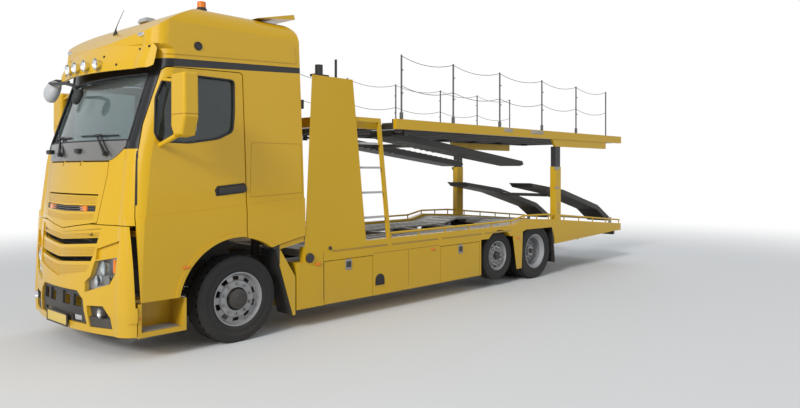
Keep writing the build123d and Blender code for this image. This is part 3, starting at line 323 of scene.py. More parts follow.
# Plastics: grained black mouldings on the outside, softer grey ones inside. The front mudguards' rear and
# outer faces are painted.
plastic_black = (0.022, 0.022, 0.023)
black_plastic = weathered("black_plastic", plastic_black, 0.55, film_top=1.3, grain=320.0, bump=0.0005)
inside_plastic = weathered("inside_plastic", (0.055, 0.055, 0.058), 0.6, film_top=0.1, film=0.0, grain=400.0,
                           bump=0.0004, slot="interior_plastic")
guard_plastic = weathered("guard_plastic", plastic_black, 0.5, film_top=1.3, film=0.4, grain=320.0,
                          bump=0.0005)
guard_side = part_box("front_mudguards")[1].y - 0.012
two_tone(guard_plastic, body_yellow, [[("X", "over", front_axle + 0.52), ("out", "over", guard_side)]])
dress(black_plastic, "tower_fittings", "lower_intake")
dress(guard_plastic, "front_mudguards")
dress(inside_plastic, "cab_interior")

# Zinc on the railing posts and wires, silver enamel on the drive wheels' rims, woven cloth and the yellow
# number plate.
zinc = weathered("zinc", (0.13, 0.13, 0.13), 0.42, film_top=0.1, film=0.0, patches=0.3, grain=70.0,
                 bump=0.0003, metallic=0.6, slot="galvanised")
wheel_silver = weathered("wheel_silver", (0.36, 0.365, 0.375), 0.30, film_top=1.1, film=0.45, patches=0.25,
                         grain=120.0, bump=0.0003, metallic=0.35, slot="wheel_steel")
rubber = weathered("rubber", (0.011, 0.011, 0.012), 0.75, film_top=0.9, film=0.18, patches=0.2, grain=140.0,
                   slot="tyre_rubber")
red_lens = weathered("red_lens", (0.42, 0.012, 0.008), 0.18, film=0.3, coat=0.6, slot="lamp_red")
cloth = weathered("seat_cloth", (0.06, 0.06, 0.07), 0.9, film=0.0, grain=900.0, slot="seat_fabric")
plate_yellow = weathered("plate_yellow", (0.66, 0.47, 0.09), 0.35, film_top=0.8, film=0.25, bump=0.0)
dress(zinc, "railing_posts", "railing_wires")
dress(wheel_silver, *(name for name in node if name.startswith("rim_")))
dress(rubber, *(name for name in node if name.startswith("tyre_")))
dress(red_lens, "tail_lamps")
dress(cloth, "seats")
dress(plate_yellow, "number_plate")


# Glass: the laminated windscreen and the toughened door windows, tinted in the mass and darker in the
# doors, and the clear moulded plastic of the lamp covers.
def clear_finish(name, tint, transmission, ior):
    """A see-through finish."""
    finish = bpy.data.materials.new(name)
    finish.use_nodes = True
    shader = finish.node_tree.nodes["Principled BSDF"]
    shader.inputs["Base Color"].default_value = (*tint, 1)
    shader.inputs["Roughness"].default_value = 0.02
    shader.inputs["Transmission Weight"].default_value = transmission
    shader.inputs["IOR"].default_value = ior
    slots[finish.name] = "lamp_lens"
    return finish


dress(clear_finish("cab_glass", (0.50, 0.58, 0.58), 0.9, 1.45), "windscreen")
dress(clear_finish("dark_glass", (0.20, 0.25, 0.25), 0.9, 1.45), "door_glass_left", "door_glass_right")
lens = clear_finish("clear_lens", (0.94, 0.96, 0.97), 1.0, 1.25)
dress(lens, "headlamps")

# Tyres: radial road tyres of black rubber with ribs round the middle, blocks at the shoulders, a raised
# ring low on the wall and the bead seated in the rim. Each is moulded whole and replaces the plain ring.
tyre_sides = 96
groove_depth = 0.013
groove_width = 0.011
groove_shares = (-0.62, -0.22, 0.22, 0.62)
shoulder_width = 0.034
shoulder_drop = 0.020
wall_bulge = 0.026
block_share = 0.66
tread_skin = 0.006
twin_gap = 0.036


def choose(*pieces):
    """Leave the mesh that is being edited, if any, and pick these pieces alone, the first as active."""
    if bpy.context.mode != "OBJECT":
        bpy.ops.object.mode_set(mode="OBJECT")
    bpy.ops.object.select_all(action="DESELECT")
    for piece in reversed(pieces):
        piece.select_set(True)
        bpy.context.view_layer.objects.active = piece


def start(add, **how):
    """A new piece from one of Blender's own shapes, with its place put into its mesh."""
    choose()
    add(**how)
    bpy.ops.object.transform_apply(location=True, rotation=True, scale=True)
    return bpy.context.object


def pick_faces(piece, wanted=None):
    """Open a piece for editing with only the wanted faces picked, or all of them."""
    choose(piece)
    bpy.context.tool_settings.mesh_select_mode = (False, False, True)
    mesh = piece.data
    mesh.vertices.foreach_set("select", [False] * len(mesh.vertices))
    mesh.edges.foreach_set("select", [False] * len(mesh.edges))
    for polygon in mesh.polygons:
        polygon.select = wanted is None or bool(wanted(polygon.center, polygon.normal))
    bpy.ops.object.mode_set(mode="EDIT")


def facing(x, y, z, least=0.9):
    """The test for faces that look one way."""
    way = Vector((x, y, z))
    return lambda centre, normal: normal.dot(way) > least


def push(x, y, z):
    """Extrude the picked faces by a step."""
    bpy.ops.mesh.extrude_region_move(TRANSFORM_OT_translate={"value": (x, y, z)})


def cut_rings(piece, direction, places):
    """Cut a piece round at each place along a direction, leaving it whole."""
    for place in places:
        pick_faces(piece)
        bpy.ops.mesh.bisect(plane_co=direction * place, plane_no=direction)


def modify(piece, kind, **settings):
    """Work one modifier into a piece's mesh."""
    choose(piece)
    worker = piece.modifiers.new("shaping", kind)
    for setting, value in settings.items():
        setattr(worker, setting, value)
    bpy.ops.object.modifier_apply(modifier=worker.name)


def join_pieces(pieces):
    """Several pieces as one mesh."""
    choose(*pieces)
    bpy.ops.object.join()
    return bpy.context.object


def finish_piece(piece, name, finish, body="chassis", smooth=35, slot=None, stands_for=None):
    """Put a piece's place into its mesh, name it, give it its finish and let it ride."""
    choose(piece)
    bpy.ops.object.transform_apply(location=True, rotation=True, scale=True)
    if smooth:
        bpy.ops.object.shade_smooth_by_angle(angle=radians(smooth))
    piece.name = name
    piece.data.materials.clear()
    piece.data.materials.append(finish)
    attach(piece, body)
    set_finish(piece, slot or slots[finish.name])
    if stands_for:
        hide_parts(stands_for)


def both_sides(piece, name, finish, body="chassis", stands_for="", **more):
    """Finish a piece of the left side and its mirror image on the right. A star in a name is the side."""
    finish_piece(piece, name.replace("*", "left"), finish, body.replace("*", "left"),
                 stands_for=stands_for.replace("*", "left"), **more)
    twin = piece.copy()
    twin.data = piece.data.copy()
    twin.parent = None
    twin.name = name.replace("*", "right")
    scene.collection.objects.link(twin)
    for vertex in twin.data.vertices:
        vertex.co.y = -vertex.co.y
    twin.data.flip_normals()
    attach(twin, body.replace("*", "right"))
    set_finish(twin, piece["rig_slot"])
    if stands_for:
        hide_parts(stands_for.replace("*", "right"))


def wheel_centre(name):
    """The place of a wheel part's axle along and above the truck, as X and Z."""
    low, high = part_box(name)
    return (low.x + high.x) / 2, (low.z + high.z) / 2


def spoke(place, centre_x, centre_z):
    """From a wheel's axle out to a place."""
    return Vector((place.x - centre_x, 0, place.z - centre_z))


def make_tyre(centre_x, centre_z, outer_y, width, radius, bead):
    """One tyre of the left side, its outer wall at outer_y."""
    middle_y = outer_y + width / 2
    tyre = start(bpy.ops.mesh.primitive_cylinder_add, vertices=tyre_sides, radius=radius,
                 depth=width - 2 * shoulder_width, location=(centre_x, middle_y, centre_z),
                 rotation=(radians(90), 0, 0))
    tall = radius - bead
    rings = [(0.006, radius - 0.045), (0.002, bead + tall * 0.62), (0.003, bead + tall * 0.58),
             (-0.003, bead + tall * 0.55), (-0.004, bead + tall * 0.25), (0.004, bead + tall * 0.20),
             (-0.014, bead + 0.004), (-0.004, bead - 0.004)]
    for wall in (-1, 1):
        pick_faces(tyre, facing(0, wall, 0))
        last = radius
        for out, ring in [(wall_bulge, radius - shoulder_drop)] + rings:
            push(0, wall * out, 0)
            bpy.ops.transform.resize(value=(ring / last,) * 3)
            last = ring
    half = width / 2 - shoulder_width
    cut_rings(tyre, Vector((0, 1, 0)), [middle_y + half * share + edge for share in groove_shares
                                        for edge in (-groove_width / 2, groove_width / 2)])

    def on_tread(centre, normal):
        return spoke(centre, centre_x, centre_z).length > radius - tread_skin and abs(normal.y) < 0.1

    def in_groove(centre, normal):
        near = any(abs(centre.y - middle_y - half * share) < groove_width * 0.4 for share in groove_shares)
        return near and on_tread(centre, normal)

    def in_shoulder_slot(centre, normal):
        angle = atan2(centre.z - centre_z, centre.x - centre_x) % (2 * pi)
        every_third = int(angle / (2 * pi) * tyre_sides + 0.001) % 3 == 0
        return every_third and abs(centre.y - middle_y) > half * block_share and on_tread(centre, normal)

    def at_axle(centre, normal):
        return abs(normal.y) > 0.9 and spoke(centre, centre_x, centre_z).length < 0.01

    for wanted, depth in ((in_groove, groove_depth), (in_shoulder_slot, groove_depth * 0.8)):
        pick_faces(tyre, wanted)
        bpy.ops.mesh.extrude_region_shrink_fatten(TRANSFORM_OT_shrink_fatten={"value": -depth})
    pick_faces(tyre, at_axle)
    bpy.ops.mesh.bridge_edge_loops()
    choose(tyre)
    return tyre


for kind in ("front", "pusher", "drive"):
    low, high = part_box(f"tyre_{kind}_left")
    rim_low, rim_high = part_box(f"rim_{kind}_left")
    width = (high.y - low.y - twin_gap) / 2 if kind == "drive" else high.y - low.y
    tread = make_tyre(*wheel_centre(f"tyre_{kind}_left"), low.y, width, (high.z - low.z) / 2,
                      (rim_high.z - rim_low.z) / 2)
    if kind == "drive":
        inner = tread.copy()
        inner.data = tread.data.copy()
        scene.collection.objects.link(inner)
        for vertex in inner.data.vertices:
            vertex.co.y += width + twin_gap
        tread = join_pieces([tread, inner])
    both_sides(tread, f"tread_{kind}_*", rubber, f"wheel_{kind}_*", smooth=32, stands_for=f"tyre_{kind}_*")

# Front and pusher rims: pressed steel in silver enamel. Each is a well rolled to two flanges and a dished
# disc with ten hand holes, welded in; the hub and its drum are cast and painted dark.
rim_steps = 80
hand_holes = 10
hole_steps = rim_steps // hand_holes
hub_steps = 48
flange_radius = 0.2985
hub_bore = 0.13
flange_inset = 0.012
disc_depth = 0.032
hub_black = weathered("hub_black", (0.035, 0.034, 0.034), 0.42, grain=80.0, metallic=0.3, slot="dark_steel")
disc_shape = [
    (0.000, flange_radius), (0.000, 0.2870), (0.004, 0.2850), (0.012, 0.2800), (0.045, 0.2680),
    (0.058, 0.2620), (0.064, 0.2560), (0.065, 0.2500), (0.050, 0.2080), (0.044, 0.2020),
    (disc_depth, 0.1980), (disc_depth, 0.1280), (0.044, 0.1280), (0.044, 0.1950), (0.060, 0.2050),
    (0.079, 0.2500), (0.080, 0.2620),
]
inner_flange = [(-0.030, 0.262), (0.000, 0.286), (0.000, flange_radius), (-0.012, 0.2982), (-0.030, 0.285)]
well_shape = [(0.030, 0.285), (0.012, 0.2982)]
hub_shape = [
    (-0.030, 0.0), (-0.030, 0.046), (-0.024, 0.052), (-0.020, 0.070), (-0.016, 0.074), (-0.014, 0.096),
    (-0.004, 0.110), (0.034, 0.114), (0.090, 0.114), (0.090, 0.185), (0.100, 0.195), (0.200, 0.195),
    (0.200, 0.0),
]
disc_faces = {}


def turned(centre_x, centre_z, profile, steps):
    """A body turned about a wheel's axle from places along Y and their radius."""
    piece = start(bpy.ops.mesh.primitive_circle_add, vertices=len(profile), radius=1)
    for vertex, (y, radius) in zip(piece.data.vertices, profile):
        vertex.co = (centre_x, y, centre_z + radius)
    bpy.ops.object.mode_set(mode="EDIT")
    bpy.ops.mesh.select_all(action="SELECT")
    bpy.ops.mesh.spin(steps=steps, angle=2 * pi, center=(centre_x, 0, centre_z), axis=(0, 1, 0))
    bpy.ops.mesh.select_all(action="SELECT")
    bpy.ops.mesh.remove_doubles(threshold=0.00005)
    bpy.ops.mesh.delete_loose()
    bpy.ops.mesh.select_all(action="SELECT")
    bpy.ops.mesh.normals_make_consistent(inside=False)
    return piece


for kind, bore_share in (("front", 1.0), ("pusher", 0.72)):
    low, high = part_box(f"tyre_{kind}_left")
    rim_low, rim_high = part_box(f"rim_{kind}_left")
    centre_x, centre_z = wheel_centre(f"tyre_{kind}_left")
    share = (rim_high.z - rim_low.z) / 2 / flange_radius
    outer_y = low.y + flange_inset
    inner_y = high.y - flange_inset
    profile = [(outer_y + depth, r * share * (bore_share if r < hub_bore else 1)) for depth, r in disc_shape]
    profile += [(inner_y + depth, r * share) for depth, r in inner_flange]
    profile += [(outer_y + depth, r * share) for depth, r in well_shape]
    rim = turned(centre_x, centre_z, profile, rim_steps)

    def in_hole(centre, normal, hole):
        across = spoke(centre, centre_x, centre_z)
        step = int((atan2(across.z, across.x) % (2 * pi)) / (2 * pi) * rim_steps)
        in_ring = 0.212 * share < across.length < 0.245 * share and abs(normal.y) > 0.5
        return in_ring and step // hole_steps == hole and step % hole_steps in (2, 3, 4, 5)

    for hole in range(hand_holes):
        pick_faces(rim, lambda centre, normal: in_hole(centre, normal, hole))
        bpy.ops.mesh.bridge_edge_loops()
    both_sides(rim, f"wheel_{kind}_disc_*", wheel_silver, f"wheel_{kind}_*", stands_for=f"rim_{kind}_*")
    disc_faces[kind] = outer_y + disc_depth
    hub_profile = [(outer_y + depth, r * share * bore_share) for depth, r in hub_shape]
    hub = turned(centre_x, centre_z, hub_profile, hub_steps)
    both_sides(hub, f"wheel_{kind}_hub_*", hub_black, f"wheel_{kind}_*")

# Wheel nuts: ten hexagon nuts of zinc-plated steel on each disc, screwed onto the hub's studs, whose ends
# stand out of them.
nut_count = 10
nut_tall = 0.024
nut_radius = 0.0185
stud_out = 0.012
nut_steel = weathered("nut_steel", (0.34, 0.34, 0.34), 0.32, film_top=1.1, grain=200.0, metallic=0.8,
                      slot="wheel_steel")
sight = {"front": (0, -9), "back": (0, 9), "left": (1, -4), "above": (2, 6)}


def seen(view, a, b, *names):
    """The first place that is met on some carried-over pieces, seen from one side, or None."""
    axis, far = sight[view]
    begin = [a, b]
    begin.insert(axis, far)
    ahead = Vector((0, 0, 0))
    ahead[axis] = -1 if far > 0 else 1
    hits = [node[name].ray_cast(Vector(begin), ahead) for name in names]
    return min((hit[1] for hit in hits if hit[0]), key=lambda place: abs(place[axis] - far), default=None)


for kind, circle in (("front", 0.1675), ("pusher", 0.118), ("drive", 0.140)):
    centre_x, centre_z = wheel_centre(f"rim_{kind}_left")
    if kind == "drive":
        disc_faces[kind] = seen("left", centre_x + circle, centre_z, "rim_drive_left").y
    nuts = []
    for step in range(nut_count):
        angle = 2 * pi * (step + 0.5) / nut_count
        place = (centre_x + circle * cos(angle), disc_faces[kind] - nut_tall / 2,
                 centre_z + circle * sin(angle))
        nut = start(bpy.ops.mesh.primitive_cylinder_add, vertices=6, radius=nut_radius, depth=nut_tall,
                    location=place, rotation=(radians(90), 0, 0))
        pick_faces(nut, facing(0, -1, 0))
        bpy.ops.mesh.inset(thickness=0.005)
        bpy.ops.transform.translate(value=(0, -0.004, 0))
        bpy.ops.mesh.inset(thickness=0.003)
        push(0, -stud_out, 0)
        nuts.append(nut)
    both_sides(join_pieces(nuts), f"nuts_{kind}_*", nut_steel, f"wheel_{kind}_*", smooth=0)

# Lamps on the visor: four round driving lamps, each a chromed bowl behind a clear domed lens, screwed
# onto the front of the sun visor.
chrome = weathered("chrome", (0.75, 0.76, 0.78), 0.08, film_top=0.1, film=0.0, patches=0.05, metallic=1.0,
                   bump=0.0, slot="wheel_steel")


def shift(x, y, z):
    """A step from one place to another."""
    return Vector((x, y, z))


def round_lamp(name, place, radius, depth, bowl_finish):
    """A round lamp that faces forwards: its bowl with a rolled rim, and its domed glass."""
    bowl = start(bpy.ops.mesh.primitive_cylinder_add, vertices=32, radius=radius, depth=depth,
                 rotation=(0, radians(-90), 0), location=(place.x - depth / 2, place.y, place.z))
    pick_faces(bowl, facing(-1, 0, 0))
    bpy.ops.mesh.inset(thickness=radius * 0.12)
    for share in (0.8, 0.35):
        push(depth * 0.3, 0, 0)
        bpy.ops.transform.resize(value=(1, share, share))
    pick_faces(bowl, lambda centre, normal: normal.x > 0.9 and centre.x > place.x - depth * 0.1)
    bpy.ops.transform.resize(value=(1, 0.7, 0.7))
    finish_piece(bowl, f"{name}_bowl", bowl_finish, smooth=40)
    middle = (place.x - depth, place.y, place.z)
    dome = start(bpy.ops.mesh.primitive_uv_sphere_add, segments=28, ring_count=12, radius=radius * 0.93,
                 location=middle)
    pick_faces(dome)
    bpy.ops.mesh.bisect(plane_co=middle, plane_no=(1, 0, 0), clear_outer=True, use_fill=True)
    bpy.ops.mesh.select_all(action="SELECT")
    bpy.ops.transform.resize(value=(0.28, 1, 1), center_override=middle)
    finish_piece(dome, f"{name}_glass", lens, smooth=40)


for number, y in enumerate((-0.365, -0.122, 0.122, 0.365), 1):
    visor_seat = seen("front", y, 3.03, "roof_panels")
    round_lamp(f"visor_lamp_{number}", visor_seat + shift(0.004, 0, 0), 0.062, 0.055, chrome)

# Roof: two amber beacons on rubber feet, a whip aerial on its moulded base, the grey receiver dome and the
# black side vents, all screwed to the cab's skin.
amber = weathered("amber_lens", (0.80, 0.20, 0.006), 0.16, film_top=0.1, film=0.0, coat=0.5, bump=0.0,
                  slot="lamp_red")
hatch_grey = weathered("hatch_grey", (0.35, 0.36, 0.37), 0.3, film_top=0.1, film=0.0, bump=0.0002)
for side, y in (("left", -0.70), ("right", 0.70)):
    foot = seen("above", front_axle - 0.15, y, "cab_shell")
    base = start(bpy.ops.mesh.primitive_cylinder_add, vertices=32, radius=0.058, depth=0.05,
                 location=foot + shift(0, 0, 0.012))
    pick_faces(base, facing(0, 0, 1))
    bpy.ops.mesh.inset(thickness=0.010)
    push(0, 0, 0.014)
    finish_piece(base, f"beacon_foot_{side}", black_plastic)
    dome = start(bpy.ops.mesh.primitive_cylinder_add, vertices=32, radius=0.048, depth=0.07,
                 location=foot + shift(0, 0, 0.086))
    cut_rings(dome, Vector((0, 0, 1)), [foot.z + 0.060 + 0.012 * step for step in range(5)])
    pick_faces(dome, facing(0, 0, 1))
    bpy.ops.mesh.bevel(offset=0.018, segments=4, affect="EDGES")
    finish_piece(dome, f"beacon_dome_{side}", amber)

aerial = start(bpy.ops.mesh.primitive_cone_add, vertices=20, radius1=0.030, radius2=0.008, depth=0.06,
               location=seen("above", front_axle - 0.80, 0.0, "cab_shell") + shift(0, 0, 0.022))
pick_faces(aerial, facing(0, 0, 1, 0.95))
for lean, rise, share in ((0.012, 0.04, 0.55), (0.03, 0.08, 0.8), (0.05, 0.12, 0.8)):
    push(lean, 0, rise)
    bpy.ops.transform.resize(value=(share, share, share))
finish_piece(aerial, "aerial", black_plastic, smooth=40)

roof_dome = start(bpy.ops.mesh.primitive_cube_add, size=1, scale=(0.16, 0.20, 0.06),
                  location=seen("above", front_axle - 0.44, 0.0, "cab_shell") + shift(0, 0, 0.015))
pick_faces(roof_dome, facing(0, 0, 1))
bpy.ops.transform.resize(value=(0.72, 0.8, 1))
modify(roof_dome, "BEVEL", width=0.02, segments=4)
finish_piece(roof_dome, "roof_dome", hatch_grey)

vent = start(bpy.ops.mesh.primitive_cylinder_add, vertices=32, radius=0.046, depth=0.016,
             rotation=(radians(90), 0, 0), location=seen("left", front_axle - 0.449, 3.225, "cab_shell"))
pick_faces(vent, facing(0, -1, 0))
for thickness, sink in ((0.008, 0.006), (0.010, -0.004), (0.010, 0.005)):
    bpy.ops.mesh.inset(thickness=thickness)
    bpy.ops.transform.translate(value=(0, sink, 0))
both_sides(vent, "roof_vent_*", black_plastic)

# Screen surround: the grey moulded cowl under the screen, the rubber bead round the glass and the dark
# header behind its upper edge. The cowl is pressed on over the shell and follows the bow of the front.
cowl_grey = weathered("cowl_grey", (0.16, 0.155, 0.145), 0.22, film_top=2.3, film=0.25, grain=260.0,
                      bump=0.0002, coat=0.4)
gasket = weathered("gasket_rubber", (0.010, 0.010, 0.011), 0.5, film_top=0.1, film=0.0, grain=300.0,
                   bump=0.0003)


def front_sheet(name, lower, upper, half, source, out, wall, cells, finish, body="chassis"):
    """A sheet laid on the front of a piece: its lower and upper edge are heights over the width. Where the
    piece is open, the sheet is set back into it."""
    sheet = start(bpy.ops.mesh.primitive_grid_add, x_subdivisions=cells[0], y_subdivisions=cells[1], size=2)
    for vertex in sheet.data.vertices:
        y = -vertex.co.x * half
        z = lower(y) + (upper(y) - lower(y)) * (vertex.co.y + 1) / 2
        seat = seen("front", y, z, source)
        vertex.co = (seat.x - out if seat else front_axle - 1, y, z)
    modify(sheet, "SOLIDIFY", thickness=wall, offset=1.0)
    modify(sheet, "BEVEL", width=min(wall, 0.004) * 0.45, segments=2, limit_method="ANGLE")
    finish_piece(sheet, name, finish, body, smooth=40)


def cowl_foot(y):
    """Lower edge of the cowl: level over the flap, then up over the corner panels."""
    return 2.006 + 0.150 * max(0.0, (abs(y) - 0.76) / 0.22) ** 1.6


def new_bead(points, radius, closed=True, resolution=2):
    """Round bead along some points, made a mesh."""
    line = bpy.data.curves.new("bead", "CURVE")
    line.dimensions = "3D"
    line.bevel_depth = radius
    line.bevel_resolution = resolution
    run = line.splines.new("POLY")
    run.points.add(len(points) - 1)
    for point, place in zip(run.points, points):
        point.co = (*place, 1)
    run.use_cyclic_u = closed
    line.use_fill_caps = not closed
    rope = bpy.data.objects.new("bead", line)
    scene.collection.objects.link(rope)
    choose(rope)
    bpy.ops.object.convert(target="MESH")
    return bpy.context.object


def split_edges(corners, step):
    """Points at even steps round a closed outline."""
    points = []
    for (a0, b0), (a1, b1) in zip(corners, corners[1:] + corners[:1]):
        count = max(1, round(((a1 - a0) ** 2 + (b1 - b0) ** 2) ** 0.5 / step))
        points += [(a0 + (a1 - a0) * i / count, b0 + (b1 - b0) * i / count) for i in range(count)]
    return points


front_sheet("cowl", cowl_foot, lambda y: 2.213, 0.975, "cab_shell", 0.0, 0.007, (44, 6), cowl_grey)
screen_corners = [(-1.000, 2.215), (1.000, 2.215), (0.965, 2.905), (-0.965, 2.905)]
screen_line = [seen("front", y * 1.003, z + (0.004 if z > 2.5 else -0.004), "cab_shell", "windscreen")
               for y, z in split_edges(screen_corners, 0.05)]
finish_piece(new_bead(screen_line, 0.011), "screen_bead", gasket, smooth=45)
front_sheet("screen_header", lambda y: 2.80 + 0.012 * cos(40 * y), lambda y: 2.90, 0.93, "windscreen", -0.075,
            0.004, (40, 3), inside_plastic)

# Wipers: pressed black arms on two spindles in the cowl, each with a second link and a rubber blade that
# is parked along the foot of the screen. Two spray heads are clipped into the cowl.
wiper_black = weathered("wiper_black", (0.012, 0.012, 0.013), 0.42, film_top=2.4, film=0.2, grain=200.0,
                        bump=0.0004)


def new_bar(begin, end, radius, sides=12, taper=1.0):
    """A turned bar from one place to another, its far end narrowed by taper and both ends chamfered."""
    run = end - begin
    along = run.normalized()
    bar = start(bpy.ops.mesh.primitive_cone_add, vertices=sides, radius1=radius, radius2=radius * taper,
                depth=run.length, location=(begin + end) / 2, rotation=run.to_track_quat("Z", "Y").to_euler())
    pick_faces(bar, lambda centre, normal: abs(normal.dot(along)) > 0.95)
    bpy.ops.mesh.inset(thickness=radius * taper * 0.3)
    return bar


def new_block(x0, x1, y0, y1, z0, z1, round_by=0.004, segments=2):
    """A pressed or moulded block with rounded edges."""
    block = start(bpy.ops.mesh.primitive_cube_add, size=1, scale=(abs(x1 - x0), abs(y1 - y0), abs(z1 - z0)),
                  location=at((x0 + x1) / 2, (y0 + y1) / 2, (z0 + z1) / 2))
    pick_faces(block)
    bpy.ops.mesh.bevel(offset=round_by, segments=segments, affect="EDGES")
    return block


for number, pivot_y in enumerate((-0.72, 0.30), 1):
    pivot = seen("front", pivot_y, 2.075, "cab_shell") + shift(-0.012, 0, 0)
    tip_y = pivot_y + 0.29
    blade_mid = seen("front", tip_y, 2.275, "windscreen") + shift(-0.030, 0, 0)
    arms = [new_bar(pivot + shift(0.02, 0, 0), pivot - shift(0.045, 0, 0), 0.026, 20, 0.8),
            new_bar(pivot - shift(0.030, 0, 0), blade_mid, 0.015, 8, 0.55),
            new_bar(pivot - shift(0.026, 0.10, 0.008), blade_mid + shift(0, -0.09, -0.004), 0.008, 8),
            new_bar(blade_mid + shift(0, -0.11, -0.004), blade_mid + shift(0, 0.03, 0), 0.011, 8)]
    blade = [seen("front", tip_y - 0.36 + 0.72 * step / 8, 2.262 + 0.010 * step / 8, "windscreen")
             - shift(0.012, 0, 0) for step in range(9)]
    finish_piece(new_bead(blade, 0.009, closed=False), f"wiper_blade_{number}", gasket, smooth=45)
    finish_piece(join_pieces(arms), f"wiper_arm_{number}", wiper_black, smooth=40)
nozzles = [new_block(-1.285, -1.225, y - 0.055, y + 0.055, 2.085, 2.135, 0.012) for y in (-0.16, 0.62)]
finish_piece(join_pieces(nozzles), "spray_heads", wiper_black, smooth=40)

# Kerb mirrors: a round-cornered grey shell on a black arm at the far front corner and a small black one
# hung in front of the screen, each with a sunk back.
shell_grey = weathered("shell_grey", (0.46, 0.47, 0.48), 0.28, film_top=0.1, film=0.0, grain=150.0,
                       bump=0.0002)


def pod(name, centre, size, tilt, finish):
    """A mirror shell: an egg flattened front to back, cut off square behind, with a sunk face there."""
    shell = start(bpy.ops.mesh.primitive_uv_sphere_add, segments=28, ring_count=14, radius=0.5,
                  location=centre)
    pick_faces(shell)
    bpy.ops.transform.resize(value=size, center_override=centre)
    back_x = centre.x + size[0] * 0.22
    bpy.ops.mesh.bisect(plane_co=(back_x, 0, 0), plane_no=(1, 0, 0), clear_outer=True, use_fill=True)
    pick_faces(shell, lambda place, normal: normal.x > 0.95 and place.x > back_x - 0.001)
    bpy.ops.mesh.inset(thickness=0.010)
    push(-0.008, 0, 0)
    bpy.ops.mesh.select_all(action="SELECT")
    bpy.ops.transform.rotate(value=radians(-tilt), orient_axis="Y", center_override=centre)
    finish_piece(shell, name, finish, smooth=50)


pod("kerb_mirror_shell", at(-1.085, 1.02, 2.840), (0.19, 0.24, 0.27), 18, shell_grey)
pod("front_mirror_shell", at(-1.215, -0.04, 2.700), (0.11, 0.12, 0.18), 20, black_plastic)
arm_points = [at(-0.93, 0.95, 2.965), at(-1.05, 1.02, 2.975), at(-1.12, 1.03, 2.935), at(-1.16, 0.70, 2.905),
              at(-1.20, 0.35, 2.880), at(-1.225, 0.06, 2.830), at(-1.225, -0.03, 2.755)]
finish_piece(new_bead(arm_points, 0.020, closed=False, resolution=4), "kerb_mirror_arm", black_plastic,
             smooth=45)

# Visor fittings: black plastic caps over the bolts that hold the visor, and a small silver marker lamp
# above it on each side.
cap_places = ((-0.65, 3.005), (-0.39, 3.11), (0.65, 3.005), (0.39, 3.11), (-0.93, 3.15), (0.93, 3.15),
              (-1.06, 3.17), (1.06, 3.17))
cap_seats = [seen("front", y, z, "roof_panels") for y, z in cap_places]
caps = [new_bar(seat + shift(0.01, 0, 0), seat - shift(0.008, 0, 0), 0.015, 12, 0.8)
        for seat in cap_seats if seat]
finish_piece(join_pieces(caps), "visor_caps", black_plastic)
for side, y in (("left", -0.90), ("right", 0.90)):
    x = seen("front", y, 3.31, "cab_shell").x - front_axle
    marker = new_block(x - 0.014, x + 0.03, y - 0.055, y + 0.055, 3.290, 3.330, 0.008)
    finish_piece(marker, f"roof_marker_{side}", chrome, slot="lamp_lens")

# Mirror glasses: silvered panes, a small wide-angle one below and a tall one above, clipped into the sunk
# backs of the main mirrors. They ride with the doors.
mirror_glass = weathered("mirror_glass", (0.55, 0.58, 0.60), 0.03, film_top=0.1, film=0.0, patches=0.02,
                         metallic=1.0, bump=0.0, slot="window_glass")
mirror_arm_y = -1.38
panes = [new_block(-0.7225, -0.7165, mirror_arm_y - 0.234, mirror_arm_y - inner, low, high, 0.0025)
         for low, high, inner in ((2.294, 2.446, 0.07), (2.474, 2.841, 0.034))]
both_sides(join_pieces(panes), "mirror_pane_*", mirror_glass, "door_*", smooth=0)

# Doors: black rubber round each window and down the front edge, and the handle's dished black body with
# its pull grip.
window_corners = [(-0.940, 2.270), (-0.898, 2.640), (-0.818, 2.845), (-0.500, 2.905), (-0.028, 2.900),
                  (-0.040, 2.520), (-0.065, 2.330), (-0.240, 2.245), (-0.580, 2.190), (-0.900, 2.195)]
door_edge = [(-1.118, 1.190, 1.560), (-1.085, 1.142, 2.060), (-1.052, 1.112, 2.180), (-1.000, 1.090, 2.360),
             (-0.902, 1.085, 2.650), (-0.808, 1.084, 2.930)]
handle_corners = [(-0.285, 1.628), (-0.298, 1.688), (-0.268, 1.732), (0.058, 1.762), (0.083, 1.720),
                  (0.060, 1.658)]


def rounded_outline(corners, radius):
    """Points round a closed outline with its corners rounded off."""
    points = []
    count = len(corners)
    for index in range(count):
        last, here, following = (Vector(corners[(index + step) % count]) for step in (-1, 0, 1))
        reach = min(radius, (last - here).length * 0.45, (following - here).length * 0.45)
        begin = here + (last - here).normalized() * reach
        end = here + (following - here).normalized() * reach
        points += [tuple(begin.lerp(here, t).lerp(here.lerp(end, t), t)) for t in (0.0, 0.25, 0.5, 0.75, 1.0)]
    return points


def new_plate(points, way=None):
    """A flat plate with its corners at some points, turned to face one way if that is given."""
    plate = start(bpy.ops.mesh.primitive_circle_add, vertices=len(points), radius=1, fill_type="NGON")
    for vertex, place in zip(plate.data.vertices, points):
        vertex.co = place
    plate.data.update()
    if way and plate.data.polygons[0].normal.dot(way) < 0:
        plate.data.flip_normals()
    return plate


window_x = -0.48
window_z = 2.56
inside_share = 0.96
seal_line = []
for x, z in split_edges(rounded_outline(window_corners, 0.045), 0.06):
    glass_seat = seen("left", front_axle + window_x + (x - window_x) * inside_share,
                      window_z + (z - window_z) * inside_share, "door_glass_left")
    seal_line.append(at(x, glass_seat.y - 0.017, z))
both_sides(new_bead(seal_line, 0.012), "window_seal_*", gasket, "door_*", smooth=45)
edge_line = [at(x, -y, z) for x, y, z in door_edge]
both_sides(new_bead(edge_line, 0.013, closed=False), "door_rubber_*", gasket, smooth=45)

